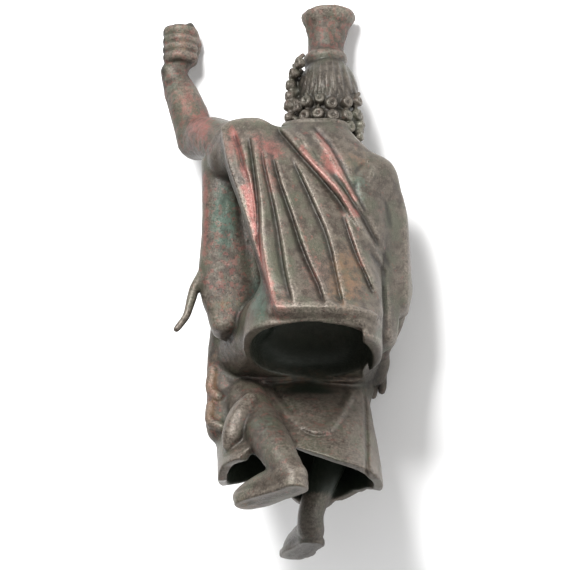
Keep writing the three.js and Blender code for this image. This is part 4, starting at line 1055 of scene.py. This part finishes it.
def bronze():
    paint = Paint("bronze")
    clouds = paint.noise(0.14, 3)
    patches = paint.noise(0.42, 5, 0.6)
    speckle = paint.noise(1.5, 5, 0.7)
    grains = paint.noise(3.6, 3, 0.6)
    crest = paint.mask("crest")
    crease_shade = paint.mask("crease_shade")
    rough = paint.mask("rough")
    colour = paint.mix(paint.span(patches, 0.38, 0.62), BROWN, GREY)
    colour = paint.mix(paint.span(clouds, 0.45, 0.65), colour, OLIVE)
    light = paint.math("MULTIPLY", paint.span(speckle, 0.52, 0.7), 0.35)
    colour = paint.mix(light, colour, PALE)
    dots = paint.math("MULTIPLY_ADD", paint.span(grains, 0.36, 0.48), -0.5, 0.5)
    colour = paint.mix(dots, colour, SOOT_AND_SHADE)
    blotch = paint.math("MULTIPLY_ADD", patches, 1.6, -0.8)
    spread = paint.math("MULTIPLY_ADD", speckle, 1.2, blotch)
    tints = (("rust", RUST, 0.95, 0.6), ("green", VERDIGRIS, 0.9, 0.65), ("red", CUPRITE, 0.9, 0.75))
    for name, tint, start, most_of_it in tints:
        field = paint.math("ADD", paint.mask(name), spread)
        share = paint.math("MULTIPLY", paint.span(field, start, start + 0.8), most_of_it)
        colour = paint.mix(share, colour, tint)
    pinkish = paint.math("MULTIPLY", paint.mask("red"), paint.span(grains, 0.5, 0.62))
    colour = paint.mix(paint.math("MULTIPLY", pinkish, 0.4), colour, PINK)
    stray = paint.span(paint.math("MULTIPLY_ADD", rough, 0.1, paint.noise(0.55, 4, 0.7)), 0.6, 0.68)
    colour = paint.mix(paint.math("MULTIPLY", stray, 0.3), colour, CUPRITE)
    # Paler on crests: partly rubbed wear of the high points, partly a painted highlight along the ridges
    wear_and_highlight = paint.math("MULTIPLY", paint.span(crest, 0.35, 1.0), paint.span(speckle, 0.35, 0.6))
    colour = paint.mix(paint.math("MULTIPLY", wear_and_highlight, 0.4), colour, PALE)
    # Darker patches: painted shadow under the raised arm and on the right side, with a darker tone on the head
    colour = paint.mix(paint.math("MULTIPLY", paint.mask("dark_tone_and_shadow"), 0.6), colour, SOOT_AND_SHADE)
    pits = paint.span(paint.noise(1.9, 2, 0.5), 0.62, 0.7)
    # Painted shade in creases and grooves, together with real black pits in the rough crust
    shade = paint.math("MAXIMUM", paint.span(crease_shade, 0.15, 1.0), paint.math("MULTIPLY", pits, rough))
    colour = paint.mix(paint.math("MULTIPLY", shade, 0.6), colour, SOOT_AND_SHADE)
    # Painted shade over the hollow inside of the seat and skirt
    colour = paint.mix(paint.math("MULTIPLY", paint.mask("inner_shade"), 0.92), colour, INNER_SHADE)
    paint.put(colour, paint.shader.inputs["Base Color"])
    gloss = paint.math("MULTIPLY_ADD", paint.span(speckle, 0.35, 0.65), 0.22, 0.34)
    gloss = paint.math("MULTIPLY_ADD", rough, 0.12, gloss)
    gloss = paint.math("MULTIPLY_ADD", wear_and_highlight, -0.1, gloss)
    paint.put(gloss, paint.shader.inputs["Roughness"])
    paint.shader.inputs["Metallic"].default_value = 0.3
    paint.shader.inputs["Specular IOR Level"].default_value = 0.35
    height = paint.math("MULTIPLY_ADD", speckle, 0.6, paint.math("MULTIPLY", grains, 0.3))
    height = paint.math("MULTIPLY_ADD", pits, -0.25, height)
    bump = paint.tree.nodes.new("ShaderNodeBump")
    bump.inputs["Strength"].default_value = 0.7
    bump.inputs["Distance"].default_value = 0.22 * MM
    paint.put(height, bump.inputs["Height"])
    paint.put(bump.outputs["Normal"], paint.shader.inputs["Normal"])
    return paint.material


# The stage

def stage(turn, shift):
    floor_mesh = bpy.data.meshes.new("floor")
    reach = 6.0
    floor_mesh.from_pydata([(-reach, -reach, 0), (reach, -reach, 0), (reach, reach, 0), (-reach, reach, 0)], [],
                           [(0, 1, 2, 3)])
    floor = bpy.data.objects.new("floor", floor_mesh)
    bpy.context.scene.collection.objects.link(floor)
    paint = bpy.data.materials.new("floor")
    paint.use_nodes = True
    shader = paint.node_tree.nodes["Principled BSDF"]
    shader.inputs["Base Color"].default_value = (0.93, 0.93, 0.93, 1)
    shader.inputs["Roughness"].default_value = 0.9
    floor_mesh.materials.append(paint)
    world = bpy.data.worlds.new("studio")
    world.use_nodes = True
    world.node_tree.nodes["Background"].inputs["Color"].default_value = (1, 1, 1, 1)
    world.node_tree.nodes["Background"].inputs["Strength"].default_value = 0.62
    bpy.context.scene.world = world


VIEW_WIDTH = 159.6 * MM         # what the photograph's width takes in, at the figure
VIEW_CENTRE = (-5.74, -6.32, 15.63)
DISTANCE = 2.5


def camera(turn, shift):
    rig = bpy.data.objects.new("camera", bpy.data.cameras.new("camera"))
    bpy.context.scene.collection.objects.link(rig)
    bpy.context.scene.camera = rig
    right = Vector((1, 0, 0))
    forward = Vector((0, LOOK_Z, LOOK_Y))
    up = right.cross(forward)
    axes = Matrix((turn @ right, turn @ up, turn @ -forward)).transposed()
    centre = turn @ Vector(VIEW_CENTRE) * MM + Vector(shift)
    rig.data.lens = rig.data.sensor_width * DISTANCE / VIEW_WIDTH
    rig.matrix_world = Matrix.Translation(centre - turn @ forward * DISTANCE) @ axes.to_4x4()
    rig.data.clip_end = 20
    return axes, centre


def softbox(name, axes, centre, place, size, power):
    """A square light placed right, up and towards the camera from the middle of the view, facing that middle."""
    light = bpy.data.objects.new(name, bpy.data.lights.new(name, "AREA"))
    bpy.context.scene.collection.objects.link(light)
    light.data.size = size
    light.data.energy = power
    away = axes @ Vector(place)
    light.location = centre + away
    light.rotation_mode = "QUATERNION"
    light.rotation_quaternion = away.to_track_quat("Z", "Y")


piece, turn, shift = statuette()
piece.data.materials.append(bronze())
stage(turn, shift)
axes, centre = camera(turn, shift)
softbox("key", axes, centre, (-0.3, 0.6, 0.65), 0.3, 17)
softbox("fill", axes, centre, (0.6, 0.1, 0.5), 0.5, 4)
bpy.context.scene.view_settings.view_transform = "Standard"
